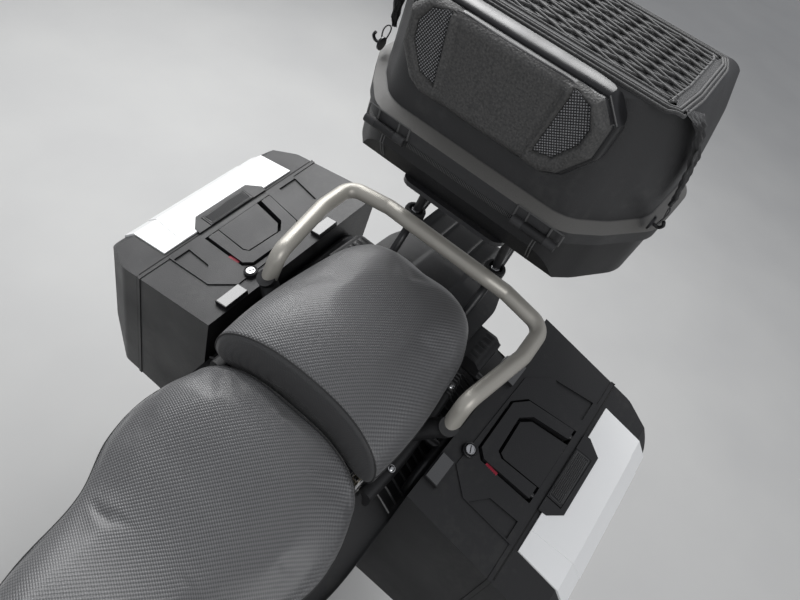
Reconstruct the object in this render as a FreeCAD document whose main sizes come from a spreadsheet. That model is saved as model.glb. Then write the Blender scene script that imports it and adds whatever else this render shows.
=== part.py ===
import FreeCAD, Part
import math
import os
import re
import Sketcher
from FreeCAD import Placement, Rotation, Vector

# An adventure motorcycle on its centre stand, with side cases, a top case and two seats.
# Every place is measured from the rear axle: X forward, Y to the left, Z up from the floor.
# Places ahead of the seat are drawn for the wheelbase below, and follow it when it changes.
# Each sub-part is then placed with the middle of the machine's length at the origin.

os.makedirs("parts", exist_ok=True)
doc = FreeCAD.newDocument("Motorcycle")
sheet = doc.addObject("Spreadsheet::Sheet", "Sizes")

# Driving sizes in millimetres and degrees: alias and value.
SIZES = (
    ("wheelbase", 1530), ("tail_reach", 480), ("rear_lift", 15),
    ("front_tyre_radius", 329), ("front_tyre_width", 110), ("front_rim_radius", 241), ("front_rim_width", 64),
    ("rear_tyre_radius", 321), ("rear_tyre_width", 150), ("rear_rim_radius", 216), ("rear_rim_width", 108),
    ("tyre_wall", 12), ("rim_wall", 6), ("spoke_count", 10), ("spoke_width", 24), ("spoke_depth", 26),
    ("front_axle_radius", 10), ("spindle_bore_radius", 6), ("rear_axle_radius", 12), ("axle_clearance", 0.05), ("hub_wall", 16),
    ("front_hub_length", 108), ("rear_hub_length", 128), ("seat_gap", 0.3),
    ("front_disc_radius", 152), ("rear_disc_radius", 132), ("disc_thickness", 5), ("disc_band", 34),
    ("front_disc_offset", 62), ("rear_disc_offset", 92),
    ("rake", 27), ("wheel_offset", 45), ("fork_offset", 32), ("fork_spacing", 200),
    ("fork_tube_radius", 28), ("slider_radius", 21.5), ("head_low", 641), ("head_length", 180),
    ("head_radius", 34), ("stem_radius", 20), ("stem_clearance", 0.05), ("yoke_thickness", 30),
    ("fork_top", 866), ("fork_joint", 380), ("lug_half_width", 27),
    ("bar_radius", 11), ("grip_radius", 17), ("bar_half_width", 425),
    ("pivot_forward", 560), ("pivot_height", 420), ("swingarm_width", 268), ("swingarm_wall", 28),
    ("pivot_plate_gap", 274), ("pivot_plate", 12), ("frame_tube_radius", 15), ("subframe_tube_radius", 12),
    ("chain_line", 92), ("chain_width", 20), ("chain_pitch_radius", 106), ("drive_pitch_radius", 43),
    ("drive_forward", 634), ("drive_height", 430), ("chain_height", 15), ("sprocket_thickness", 7),
    ("engine_half_width", 150), ("cylinder_lean", 20), ("cylinder_half_width", 105),
    ("header_radius", 20), ("pipe_radius", 22), ("muffler_radius", 48),
    ("seat_seam_back", 218), ("seat_seam_radius", 579), ("rail_radius", 14.5),
    ("plate_screw_radius", 3),
    ("case_front", 198), ("case_rear", -248), ("case_inner", 212), ("case_seam", 385), ("case_outer", 500),
    ("case_bottom", 560), ("case_top", 905), ("case_pitch", 7.8), ("case_slope", 11), ("case_wall", 4),
    ("case_corner", 34), ("case_lock_forward", 70), ("case_lock_side", 244), ("lid_gap", 0.3),
    ("hinge_radius", 7), ("hinge_pin_radius", 2.5),
    ("top_front", -45), ("top_half_width", 271), ("top_bottom", 1168), ("top_base_height", 77),
    ("top_case_height", 293), ("top_ledge", 21), ("top_wall", 4), ("top_hinge_forward", -33),
    ("stand_pivot_forward", 465), ("stand_pivot_height", 290), ("stand_tube_radius", 13),
    ("stand_foot_forward", 482), ("stand_foot_radius", 16),
    ("screen_thickness", 4), ("panel_thickness", 3),
)
for row, (alias, value) in enumerate(SIZES, 1):
    sheet.set(f"A{row}", alias)
    sheet.set(f"B{row}", str(value))
    sheet.setAlias(f"B{row}", alias)
doc.recompute()


class Sizes:
    """Read a size from the sheet by its alias."""

    def __getattr__(self, alias):
        return float(getattr(sheet, alias))


S = Sizes()
PARTS = []
AHEAD_OF_REAR_AXLE = "(Sizes.tail_reach - Sizes.wheelbase - Sizes.front_tyre_radius) / 2"


def keep(thing, label, x="0", z="0", y="0"):
    """Name a sub-part and bind its place, given from the rear axle, to the sheet."""
    thing.Label = label
    thing.setExpression("Placement.Base.x", f"{AHEAD_OF_REAR_AXLE} + {x}")
    thing.setExpression("Placement.Base.y", y)
    thing.setExpression("Placement.Base.z", z)
    PARTS.append(thing)
    return thing


def piece(label, shape):
    """A sub-part whose shape is given in place."""
    feature = doc.addObject("Part::Feature", label)
    feature.Shape = shape
    return keep(feature, label)


def v(x, y, z):
    return Vector(x, y, z)


def corner_arc(before, corner, after, radius):
    """Start, middle and end of the arc that rounds a corner."""
    back = (before - corner).normalize()
    on = (after - corner).normalize()
    half = back.getAngle(on) / 2
    bisector = (back + on).normalize()
    reach = radius / math.tan(half)
    middle = corner + bisector * (radius / math.sin(half) - radius)
    return corner + back * reach, middle, corner + on * reach


def joined(stops, closed):
    """Lines between the stops and an arc at each stop that has one."""
    edges = []
    pairs = zip(stops, stops[1:] + stops[:1] if closed else stops[1:])
    for first, second in pairs:
        if first[0] != first[2]:
            edges.append(Part.Arc(*first).toShape())
        if (first[2] - second[0]).Length > 1e-6:
            edges.append(Part.LineSegment(first[2], second[0]).toShape())
    return Part.Wire(edges)


def loop(points, radius=0):
    """Closed flat outline with its corners rounded; radius is one value or one a corner."""
    radii = radius if isinstance(radius, (list, tuple)) else [radius] * len(points)
    stops = []
    for index, corner in enumerate(points):
        if radii[index]:
            after = points[(index + 1) % len(points)]
            stops.append(corner_arc(points[index - 1], corner, after, radii[index]))
        else:
            stops.append((corner, corner, corner))
    return joined(stops, True)


def route(points, radius):
    """Open path whose inner corners are tangent arcs; radius is one value or one a corner."""
    radii = radius if isinstance(radius, (list, tuple)) else [radius] * (len(points) - 2)
    stops = [(points[0],) * 3]
    for before, corner, after, turn in zip(points, points[1:], points[2:], radii):
        stops.append(corner_arc(before, corner, after, turn))
    stops.append((points[-1],) * 3)
    return joined(stops, False)


def tube(points, radius, turn=40, bore=0):
    """Round bar or pipe along a path of straight runs and tangent arcs."""
    path = route(points, turn)
    start = points[0]
    heading = (points[1] - points[0]).normalize()
    solids = []
    for size in ([radius, bore] if bore else [radius]):
        ring = Part.Wire(Part.makeCircle(size, start, heading))
        solids.append(path.makePipeShell([ring], True, True))
    return solids[0].cut(solids[1]) if bore else solids[0]


def plate(points, radius, along):
    """Flat outline given a thickness by a vector."""
    return Part.Face(loop(points, radius)).extrude(along)


def side_plate(points, low, high, radius=0):
    """Outline drawn in side view as (x, z), from y = low to y = high."""
    return plate([v(x, low, z) for x, z in points], radius, v(0, high - low, 0))


def plan_plate(points, low, high, radius=0):
    """Outline drawn from above as (x, y), from z = low to z = high."""
    return plate([v(x, y, low) for x, y in points], radius, v(0, 0, high - low))


def bar(start, end, radius):
    """Straight round bar between two points."""
    return Part.makeCylinder(radius, (end - start).Length, start, end - start)


def block(low, high):
    """Box between two corners."""
    return Part.makeBox(high[0] - low[0], high[1] - low[1], high[2] - low[2], v(*low))


def fused(shapes):
    """One solid of several shapes, its coplanar faces merged where that leaves it valid."""
    result = shapes[0].multiFuse(shapes[1:])
    merged = result.removeSplitter()
    return merged if merged.isValid() else result


def both_sides(shape):
    """The shape on the left and its mirror image on the right."""
    return [shape, shape.mirror(v(0, 0, 0), v(0, 1, 0))]


def loft(sections, ruled=False):
    return Part.makeLoft(sections, True, ruled)


RAKE = math.radians(S.rake)
FRONT_AXLE = v(S.wheelbase, 0, S.front_tyre_radius)
REAR_AXLE_HEIGHT = S.rear_tyre_radius + S.rear_lift
STEER_UP = v(-math.sin(RAKE), 0, math.cos(RAKE))
STEER_AHEAD = v(math.cos(RAKE), 0, math.sin(RAKE))
STEER_FOOT = FRONT_AXLE - STEER_AHEAD * S.wheel_offset


def steer(up, ahead=0, side=0):
    """A place given along the steering axis, ahead of it and to its side."""
    return STEER_FOOT + STEER_UP * up + STEER_AHEAD * ahead + v(0, side, 0)


def stretch(x):
    """A place drawn between the seat's nose (704) and the steering head (1199), moved in proportion with the wheelbase."""
    share = min(1, max(0, (x - 704) / (1199 - 704)))
    return x + share * (S.wheelbase - 1530)


ALIASES = {alias for alias, _ in SIZES}


def outside(text):
    """The same formula as it is written in an object other than the sheet."""
    return re.sub(r"[a-z]\w*", lambda word: "Sizes." + word[0] if word[0] in ALIASES else word[0], text)


def drawn(body, plane, points, name):
    """A closed sketch of straight lines whose corners are formulas of the sheet's sizes."""
    sketch = body.newObject("Sketcher::SketchObject", name)
    face = next(item for item in body.Origin.OriginFeatures if item.Role == plane)
    sketch.AttachmentSupport = [(face, "")]
    sketch.MapMode = "FlatFace"
    places = [v(float(sheet.evalExpression(x)), float(sheet.evalExpression(y)), 0) for x, y in points]
    for start, end in zip(places, places[1:] + places[:1]):
        sketch.addGeometry(Part.LineSegment(start, end), False)
    for index in range(len(points)):
        following = (index + 1) % len(points)
        sketch.addConstraint(Sketcher.Constraint("Coincident", index, 2, following, 1))
    for index, (place, formulas) in enumerate(zip(places, points)):
        for kind, value, formula, axis in (("DistanceX", place.x, formulas[0], -2), ("DistanceY", place.y, formulas[1], -1)):
            if formula == "0":
                sketch.addConstraint(Sketcher.Constraint("PointOnObject", index, 1, axis))
                continue
            number = sketch.addConstraint(Sketcher.Constraint(kind, -1, 1, index, 1, value))
            sketch.setExpression(f"Constraints[{number}]", outside(formula))
    return sketch


def turned(body, points, name):
    """Revolve an outline drawn as (radius, place along the axle) about the axle."""
    feature = body.newObject("PartDesign::Revolution", name)
    feature.Profile = drawn(body, "XY_Plane", points, name + "_outline")
    feature.ReferenceAxis = (feature.Profile[0], ["V_Axis"])
    feature.Angle = 360
    body.Tip = feature
    return feature


def spread(body, feature, axis, count, name):
    """Repeat a feature round an axis."""
    pattern = body.newObject("PartDesign::PolarPattern", name)
    pattern.Originals = [feature]
    pattern.Axis = axis
    pattern.Angle = 360
    pattern.setExpression("Occurrences", outside(count))
    body.Tip = pattern
    return pattern


def rim(end, hub_length, x, z):
    """Cast wheel: bored hub, tapering spokes, and a drop-centre rim with two flanges."""
    body = doc.addObject("PartDesign::Body", f"{end}_rim_body")
    radius, edge = f"{end}_rim_radius", f"{end}_rim_width / 2"
    bore = f"{end}_axle_radius + axle_clearance"
    hub = f"{end}_axle_radius + hub_wall"
    turned(body, [(bore, f"-{hub_length} / 2"), (hub, f"-{hub_length} / 2"), (f"{hub} + 8", "-spoke_depth"),
                  (f"{hub} + 8", "spoke_depth"), (hub, f"{hub_length} / 2"), (bore, f"{hub_length} / 2")],
           f"{end}_hub")
    spoke = body.newObject("PartDesign::Pad", f"{end}_spoke")
    spoke.Profile = drawn(body, "XZ_Plane", [(hub, "spoke_width * 0.75"), (f"{radius} - 18", "spoke_width / 2"),
                                             (f"{radius} - 18", "-spoke_width / 2"), (hub, "-spoke_width * 0.75")],
                          f"{end}_spoke_outline")
    spoke.Midplane = True
    spoke.setExpression("Length", outside("spoke_depth"))
    body.Tip = spoke
    doc.recompute()
    spread(body, spoke, (spoke.Profile[0], ["N_Axis"]), "spoke_count", f"{end}_spokes")
    doc.recompute()
    turned(body, [
        (f"{radius} + 12", edge), (radius, edge), (radius, f"{edge} - 12"), (f"{radius} - 15", f"{edge} - 22"),
        (f"{radius} - 15", f"22 - {edge}"), (radius, f"12 - {edge}"), (radius, f"-{edge}"),
        (f"{radius} + 12", f"-{edge}"), (f"{radius} + 12", f"-{edge} - rim_wall"),
        (f"{radius} - rim_wall", f"-{edge} - rim_wall"), (f"{radius} - rim_wall", f"10 - {edge}"),
        (f"{radius} - 15 - rim_wall", f"20 - {edge}"), (f"{radius} - 15 - rim_wall", f"{edge} - 20"),
        (f"{radius} - rim_wall", f"{edge} - 10"), (f"{radius} - rim_wall", f"{edge} + rim_wall"),
        (f"{radius} + 12", f"{edge} + rim_wall")], f"{end}_barrel")
    doc.recompute()
    return keep(body, f"{end}_rim", x, z)


def tyre(end, centre):
    """Tyre with two sidewall arcs and a crown, hollow over the rim seat."""
    seat, crown = getattr(S, f"{end}_rim_radius"), getattr(S, f"{end}_tyre_radius")
    half, edge = getattr(S, f"{end}_tyre_width") / 2, getattr(S, f"{end}_rim_width") / 2
    rise, wall = crown - seat, S.tyre_wall
    shoulder = (crown - 0.2 * rise, 0.9 * half)
    bulge = (seat + 0.5 * rise, half)

    def place(radius, along):
        return centre + v(0, along, radius)

    def arc(*stops):
        return Part.Arc(*[place(*stop) for stop in stops]).toShape()

    def line(start, end_stop):
        return Part.LineSegment(place(*start), place(*end_stop)).toShape()

    inner_shoulder = (shoulder[0] - wall, shoulder[1] - wall)
    inner_bulge = (bulge[0], half - wall)
    edges = [
        line((seat, edge), (seat + 12, edge)), arc((seat + 12, edge), bulge, shoulder),
        arc(shoulder, (crown, 0), (shoulder[0], -shoulder[1])),
        arc((shoulder[0], -shoulder[1]), (bulge[0], -bulge[1]), (seat + 12, -edge)),
        line((seat + 12, -edge), (seat, -edge)), line((seat, -edge), (seat, wall - edge)),
        arc((seat, wall - edge), (inner_bulge[0], -inner_bulge[1]), (inner_shoulder[0], -inner_shoulder[1])),
        arc((inner_shoulder[0], -inner_shoulder[1]), (crown - wall, 0), inner_shoulder),
        arc(inner_shoulder, inner_bulge, (seat, edge - wall)), line((seat, edge - wall), (seat, edge)),
    ]
    ring = Part.Face(Part.Wire(edges)).revolve(centre, v(0, 1, 0), 360)
    return piece(f"{end}_tyre", ring)


def disc(radius, offset, centre, hub_radius):
    """Brake disc: a flat ring on a carrier with arms."""
    low = centre + v(0, offset - S.disc_thickness / 2, 0)
    ring = Part.makeCylinder(radius, S.disc_thickness, low, v(0, 1, 0))
    ring = ring.cut(Part.makeCylinder(radius - S.disc_band, S.disc_thickness, low, v(0, 1, 0)))
    hub = Part.makeCylinder(hub_radius + 14, S.disc_thickness, low, v(0, 1, 0))
    arms = []
    for turn in range(0, 360, 60):
        arm = Part.makeBox(radius - S.disc_band + 6, S.disc_thickness, 18, low - v(0, 0, 9), v(0, 0, 1))
        arm.rotate(centre, v(0, 1, 0), turn)
        arms.append(arm)
    whole = fused([ring, hub] + arms)
    return whole.cut(Part.makeCylinder(hub_radius, S.disc_thickness, low, v(0, 1, 0)))


def wheels():
    rear = v(0, 0, REAR_AXLE_HEIGHT)
    rim("front", "front_hub_length", "Sizes.wheelbase", "Sizes.front_tyre_radius")
    rim("rear", "rear_hub_length", "0", "Sizes.rear_tyre_radius + Sizes.rear_lift")
    tyre("front", FRONT_AXLE)
    tyre("rear", rear)
    hub = S.front_axle_radius + S.hub_wall
    front = [disc(S.front_disc_radius, side * S.front_disc_offset, FRONT_AXLE, hub) for side in (1, -1)]
    collars = []
    for side in (1, -1):
        start = FRONT_AXLE + v(0, side * S.front_hub_length / 2, 0)
        end = FRONT_AXLE + v(0, side * (S.front_disc_offset + S.disc_thickness / 2), 0)
        collars.append(bar(start, end, hub).cut(bar(start, end, S.front_axle_radius + S.axle_clearance)))
    piece("front_discs", Part.makeCompound([front[0].fuse(collars[0]), front[1].fuse(collars[1])]))


def belt(change, low, high):
    """Stadium round both sprockets, larger than the chain's pitch line by a change of radius."""
    rear, front = (0, REAR_AXLE_HEIGHT), (S.drive_forward, S.drive_height)
    large, small = S.chain_pitch_radius + change, S.drive_pitch_radius + change
    span = math.dist(rear, front)
    lean = math.atan2(front[1] - rear[1], front[0] - rear[0])
    spread_angle = math.acos((large - small) / span)

    def at(centre, radius, angle):
        return v(centre[0] + radius * math.cos(angle), low, centre[1] + radius * math.sin(angle))

    up, down = lean + spread_angle, lean - spread_angle
    edges = [
        Part.Arc(at(rear, large, up), at(rear, large, lean + math.pi), at(rear, large, down)).toShape(),
        Part.LineSegment(at(rear, large, down), at(front, small, down)).toShape(),
        Part.Arc(at(front, small, down), at(front, small, lean), at(front, small, up)).toShape(),
        Part.LineSegment(at(front, small, up), at(rear, large, up)).toShape(),
    ]
    return Part.Face(Part.Wire(edges)).extrude(v(0, high - low, 0))


def chain():
    """One fixed loop: rollers' band on the outside, and two rows of side plates that straddle the teeth."""
    low, high = S.chain_line - S.chain_width / 2, S.chain_line + S.chain_width / 2
    slot = S.sprocket_thickness / 2 + 1.2
    band = belt(S.chain_height / 2, low, high).cut(belt(-S.chain_height / 2, low, high))
    groove = belt(1.5, S.chain_line - slot, S.chain_line + slot)
    piece("chain", band.cut(groove))


def toothed(centre, pitch_radius, teeth, low, high):
    """Sprocket outline of straight-sided teeth just inside the chain's groove."""
    points = []
    for tooth in range(teeth):
        for share, radius in ((0.0, pitch_radius + 0.4), (0.3, pitch_radius + 0.4), (0.5, pitch_radius - 5), (0.8, pitch_radius - 5)):
            angle = 2 * math.pi * (tooth + share) / teeth
            points.append((centre.x + radius * math.cos(angle), centre.z + radius * math.sin(angle)))
    return side_plate(points, low, high)


def rear_drive():
    """Sprocket on the left of the rear hub and brake disc on its right, each on a bored collar."""
    centre = v(0, 0, REAR_AXLE_HEIGHT)
    hub = S.rear_axle_radius + S.hub_wall
    half = S.sprocket_thickness / 2
    wheel = toothed(centre, S.chain_pitch_radius, 42, S.chain_line - half, S.chain_line + half)
    for turn in range(0, 360, 60):
        hole = Part.makeCylinder(22, S.sprocket_thickness, centre + v(66, S.chain_line - half, 0), v(0, 1, 0))
        hole.rotate(centre, v(0, 1, 0), turn + 30)
        wheel = wheel.cut(hole)
    left_collar = bar(centre + v(0, S.rear_hub_length / 2, 0), centre + v(0, S.chain_line + half, 0), hub)
    right_collar = bar(centre - v(0, S.rear_hub_length / 2, 0), centre - v(0, S.rear_disc_offset + half, 0), hub)
    bore = bar(centre - v(0, 200, 0), centre + v(0, 200, 0), S.rear_axle_radius + S.axle_clearance)
    left = fused([wheel, left_collar]).cut(bore)
    right = disc(S.rear_disc_radius, -S.rear_disc_offset, centre, hub).fuse(right_collar).cut(bore)
    piece("rear_sprocket_and_disc", Part.makeCompound([left, right]))


def fork():
    """Two legs: stout upper tube, slim slider, and an axle lug with the caliper's ear."""
    legs = []
    side = S.fork_spacing / 2
    upper = bar(steer(S.fork_joint, S.fork_offset, side), steer(S.fork_top, S.fork_offset, side), S.fork_tube_radius)
    cap = bar(steer(S.fork_top, S.fork_offset, side), steer(S.fork_top + 8, S.fork_offset, side), 18)
    slider = bar(steer(20, S.fork_offset, side), steer(S.fork_joint + 15, S.fork_offset, side), S.slider_radius)
    lug = bar(FRONT_AXLE + v(0, side - S.lug_half_width, 0), FRONT_AXLE + v(0, side + S.lug_half_width, 0), 26)
    foot = bar(steer(-22, S.fork_offset + 6, side), steer(90, S.fork_offset + 3, side), S.slider_radius + 4)
    ear = plate([steer(55, S.fork_offset, side - 12), steer(185, S.fork_offset, side - 12),
                 steer(170, -38, side - 12), steer(70, -38, side - 12)], 12, v(0, 8, 0))
    bore = bar(FRONT_AXLE + v(0, side - 40, 0), FRONT_AXLE + v(0, side + 40, 0), S.front_axle_radius)
    leg = fused([upper, cap, slider, lug, foot, ear]).cut(bore)
    piece("fork_legs", Part.makeCompound(both_sides(leg)))
    reach = side + S.lug_half_width
    collar = S.front_disc_offset + S.disc_thickness / 2 + S.seat_gap
    axle = bar(FRONT_AXLE + v(0, -reach - 3, 0), FRONT_AXLE + v(0, reach + 3, 0), S.front_axle_radius)
    parts = [axle]
    for sign in (1, -1):
        parts.append(bar(FRONT_AXLE + v(0, sign * collar, 0), FRONT_AXLE + v(0, sign * (side - S.lug_half_width), 0), 16))
        parts.append(bar(FRONT_AXLE + v(0, sign * reach, 0), FRONT_AXLE + v(0, sign * (reach + 8), 0), 15))
    spindle_bore = bar(FRONT_AXLE - v(0, 200, 0), FRONT_AXLE + v(0, 200, 0), S.spindle_bore_radius)
    piece("front_axle", fused(parts).cut(spindle_bore))


def yoke(low, high, behind):
    """Clamp round both fork tubes and the steering stem, square to the steering axis."""
    side, tube_radius = S.fork_spacing / 2, S.fork_tube_radius
    outline = [steer(low, 18, side), steer(low, 2, side), steer(low, -behind, 30), steer(low, -behind, -30),
               steer(low, 2, -side), steer(low, 18, -side), steer(low, 62, -side), steer(low, 46, -40),
               steer(low, 46, 40), steer(low, 62, side)]
    shapes = [plate(outline, 0, STEER_UP * (high - low))]
    for sign in (1, -1):
        shapes.append(bar(steer(low, S.fork_offset, sign * side), steer(high, S.fork_offset, sign * side), tube_radius + 12))
    body = fused(shapes)
    for sign in (1, -1):
        body = body.cut(bar(steer(low, S.fork_offset, sign * side), steer(high, S.fork_offset, sign * side), tube_radius))
    return body


def steering():
    """Yokes and stem, handlebar, levers, mirrors, hand guards and front mudguard."""
    head_high = S.head_low + S.head_length
    lower_low = S.head_low - S.seat_gap - S.yoke_thickness
    upper_low = head_high + S.seat_gap
    stem = bar(steer(lower_low, 0), steer(upper_low + S.yoke_thickness - 4, 0), S.stem_radius)
    shapes = [yoke(lower_low, lower_low + S.yoke_thickness, 34),
              yoke(upper_low, upper_low + S.yoke_thickness - 6, 34), stem]
    piece("fork_yokes", fused(shapes))

    yoke_top = upper_low + S.yoke_thickness - 6
    bar_centre = steer(902, 12)
    half = S.bar_half_width
    left = [bar_centre + v(-100, half, 22), bar_centre + v(-34, 195, 42), bar_centre + v(0, 62, 0)]
    points = left + [v(p.x, -p.y, p.z) for p in reversed(left)]
    parts = [tube(points, S.bar_radius, 60)]
    for sign in (1, -1):
        end, inner = [v(p.x, sign * p.y, p.z) for p in left[:2]]
        grip_start = end + (inner - end).normalize() * 125
        parts.append(bar(end, grip_start, S.grip_radius))
        parts.append(bar(end, end - (inner - end).normalize() * 14, 14))
        parts.append(bar(steer(yoke_top, 12, sign * 38), steer(896, 12, sign * 38), 14))
        parts.append(bar(bar_centre + v(0, sign * 24, 0), bar_centre + v(0, sign * 52, 0), 21))
    handlebar = fused(parts)
    piece("handlebar", handlebar)

    controls = []
    end, inner = left[0], left[1]
    along = (inner - end).normalize()
    perch = end + along * 150
    holder = bar(perch, perch + along * 26, S.bar_radius + 7)
    reservoir = block((perch.x + 2, perch.y - 34, perch.z + 2), (perch.x + 44, perch.y + 12, perch.z + 34))
    lever_root = perch + v(30, -12, 6)
    lever = tube([lever_root, lever_root + v(24, 42, -6), end + v(52, 10, -14)], 5.5, 30)
    stalk_root = perch + along * 14 + v(0, 0, 10)
    mirror_centre = perch + v(14, 100, 170)
    stalk = tube([stalk_root, stalk_root + v(10, 12, 90), mirror_centre + v(2, -30, 0)], 5, 30)
    glass_outline = [(mirror_centre.y - 72, mirror_centre.z - 30), (mirror_centre.y - 60, mirror_centre.z + 42),
                     (mirror_centre.y + 62, mirror_centre.z + 46), (mirror_centre.y + 76, mirror_centre.z - 20),
                     (mirror_centre.y + 50, mirror_centre.z - 44)]
    mirror = plate([v(mirror_centre.x - 8, y, z) for y, z in glass_outline], 16, v(22, 0, 0))
    side_controls = fused([holder, reservoir, lever, stalk, mirror]).cut(bar(end, inner, S.bar_radius))
    controls.extend(both_sides(side_controls))
    piece("levers_and_mirrors", Part.makeCompound(controls))

    tip = end - along * 14
    outer = [(tip.x - 18, tip.y + 1), (tip.x + 30, tip.y + 3), (tip.x + 104, tip.y - 36), (tip.x + 126, tip.y - 118)]
    inner_line = [(x - 3.5, y - 4) for x, y in reversed(outer)]
    guard = plan_plate(outer + inner_line, tip.z - 48, tip.z + 52, [0, 22, 40, 0, 0, 37, 19, 0])
    trim = side_plate([(tip.x - 30, tip.z - 22), (tip.x - 30, tip.z + 20), (tip.x + 60, tip.z + 50), (tip.x + 160, tip.z + 44),
                       (tip.x + 160, tip.z - 30), (tip.x + 70, tip.z - 48)], tip.y - 200, tip.y + 20, 14)
    stay = tube([v(tip.x + 120, tip.y - 112, tip.z + 22), v(tip.x + 92, tip.y - 196, tip.z + 28), v(tip.x + 56, tip.y - 214, tip.z + 14)], 5, 16)
    guard = guard.common(trim).fuse(stay).cut(handlebar).cut(side_controls)
    piece("hand_guards", Part.makeCompound(both_sides(guard)))

    crown, edge, width = S.front_tyre_radius + 20, S.front_tyre_radius - 17, S.front_tyre_width / 2 + 14
    wall = S.panel_thickness
    outer_arc = Part.Arc(FRONT_AXLE + v(0, width, edge), FRONT_AXLE + v(0, 0, crown), FRONT_AXLE + v(0, -width, edge))
    inner_arc = Part.Arc(FRONT_AXLE + v(0, wall - width, edge), FRONT_AXLE + v(0, 0, crown - wall), FRONT_AXLE + v(0, width - wall, edge))
    rims = [Part.LineSegment(FRONT_AXLE + v(0, -width, edge), FRONT_AXLE + v(0, wall - width, edge)),
            Part.LineSegment(FRONT_AXLE + v(0, width - wall, edge), FRONT_AXLE + v(0, width, edge))]
    section = Part.Face(Part.Wire([outer_arc.toShape(), rims[0].toShape(), inner_arc.toShape(), rims[1].toShape()]))
    section.rotate(FRONT_AXLE, v(0, 1, 0), -78)
    guard = section.revolve(FRONT_AXLE, v(0, 1, 0), 128)
    fixings = []
    for sign in (1, -1):
        fixings.append(bar(steer(318, S.fork_offset, sign * (width - 6)), steer(318, S.fork_offset, sign * (S.fork_spacing / 2 - S.slider_radius)), 9))
    piece("front_mudguard", fused([guard] + fixings))


def caliper(centre, axle, disc_radius, disc_offset, low, high):
    """Block over the edge of a disc, with the disc's slot cut through it."""
    out = (centre - axle).normalize()
    across = v(-out.z, 0, out.x)
    corners = [centre + out * 36 + across * 40, centre + out * 36 - across * 40,
               centre - out * 30 - across * 38, centre - out * 30 + across * 38]
    shape = plate([corner + v(0, low, 0) for corner in corners], 12, v(0, high - low, 0))
    reach = S.disc_thickness / 2 + 1.5
    slot = Part.makeCylinder(disc_radius + 4, 2 * reach, axle + v(0, disc_offset - reach, 0), v(0, 1, 0))
    return shape.cut(slot)


def brakes():
    ear = S.fork_spacing / 2 - 12
    front = caliper(steer(88, -44), FRONT_AXLE, S.front_disc_radius, S.front_disc_offset, 46, ear)
    piece("front_calipers", Part.makeCompound(both_sides(front)))


PIVOT = v(S.pivot_forward, 0, S.pivot_height)
SPAR_SIDE = 142
RADIATOR_BACK = stretch(1100) - 15


def frame():
    """Head tube, twin spars, engine hangers and pivot plates."""
    head = bar(steer(S.head_low, 0), steer(S.head_low + S.head_length, 0), S.head_radius)
    shapes = [head]
    low, high = S.pivot_plate_gap / 2, S.pivot_plate_gap / 2 + S.pivot_plate
    stand_x, stand_z = S.stand_pivot_forward, S.stand_pivot_height
    outline = [(stand_x - 20, stand_z - 20), (stand_x + 20, stand_z - 22), (540, 335), (600, 340), (640, 430), (622, 560),
               (600, 640), (552, 640), (545, 560), (505, 440), (500, 360), (stand_x - 20, stand_z + 20)]
    for side in (1, -1):
        spar = tube([steer(S.head_low + 130, -20, side * 16), v(stretch(1010), side * SPAR_SIDE, 812),
                     v(stretch(800), side * (SPAR_SIDE + 2), 680), v(590, side * (low + 6), 560)],
                    S.frame_tube_radius, [60, 120])
        hanger = side * (S.engine_half_width + S.seat_gap + S.frame_tube_radius - 2)
        under = tube([steer(S.head_low + 40, -20, side * 14), v(stretch(1058), side * 118, 735),
                      v(990, hanger, 560), v(958, hanger, 455)], S.frame_tube_radius - 2, [40, 90])
        shapes.append(bar(v(stretch(1058), side * 118, 728), v(RADIATOR_BACK + 12.8, side * 118, 728), 7))
        shapes.append(bar(v(stretch(806), side * 142, 686), v(704, side * 62, 790.7), 9))
        shapes.append(bar(v(stretch(1000), side * 134, 806), v(stretch(1000), side * 126, 880), 9).cut(tank_solid()))
        web = bar(v(stretch(1030), side * 128, 800), v(stretch(1046), side * 122, 705), 9)
        sheet_metal = side_plate(outline, side * low if side > 0 else -high, side * high if side > 0 else -low, 12)
        shapes.extend([spar, under, web, sheet_metal])
    shapes.append(bar(v(572, -low - 2, 600), v(572, low + 2, 600), 14))
    shapes.append(side_plate([(572, 350), (628, 350), (622, 256), (584, 256)], low, high + 8, 10))
    shapes.append(bar(v(704, -62, 790.7), v(704, 62, 790.7), 9))
    nose_stay = side_plate([(stretch(x), z) for x, z in ((1150, 905), (1329.7, 945), (1329.7, 1015), (1120, 1010))],
                           -16, 16, 6)
    shapes.append(nose_stay.cut(bar(steer(S.head_low - 60, 0), steer(S.head_low + S.head_length + 60, 0), S.head_radius - 4)))
    shapes.append(bar(v(stretch(1258), 0, 990), v(stretch(1258), 0, 1124), 8))
    shapes.append(bar(v(stretch(1300), -140, 1000), v(stretch(1300), 140, 1000), 8))
    body = fused(shapes)
    for side in (1, -1):
        body = body.cut(bar(v(stand_x, side * 100, stand_z), v(stand_x, side * 180, stand_z), 10.05))
    body = body.cut(bar(steer(S.head_low - 5, 0), steer(S.head_low + S.head_length + 5, 0), S.stem_radius + S.stem_clearance))
    body = body.cut(bar(PIVOT - v(0, 200, 0), PIVOT + v(0, 200, 0), 11))
    piece("frame", body)

    piece("subframe", subframe_tubes(0))


def subframe_tubes(extra):
    """Seat rails, struts and cross tubes, thickened by an extra radius where a neighbour is fitted round them."""
    rails = []
    radius = S.subframe_tube_radius + extra
    for side in (1, -1):
        rails.append(tube([v(572, side * 120, 628), v(420, side * 112, 780), v(150, side * 108, 835), v(-104, side * 86, 893)], radius, [80, 120]))
        rails.append(tube([v(548, side * 122, 560), v(380, side * 116, 640), v(60, side * 104, 842)], radius - 2, [80]))
    for x, z, reach in ((430, 772, 112), (160, 834, 108), (-92, 891, 86)):
        rails.append(bar(v(x, -reach, z), v(x, reach, z), 9 + extra))
    rails.append(bar(v(572, -124, 628), v(572, 124, 628), 14 + extra))
    return fused(rails)


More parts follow.
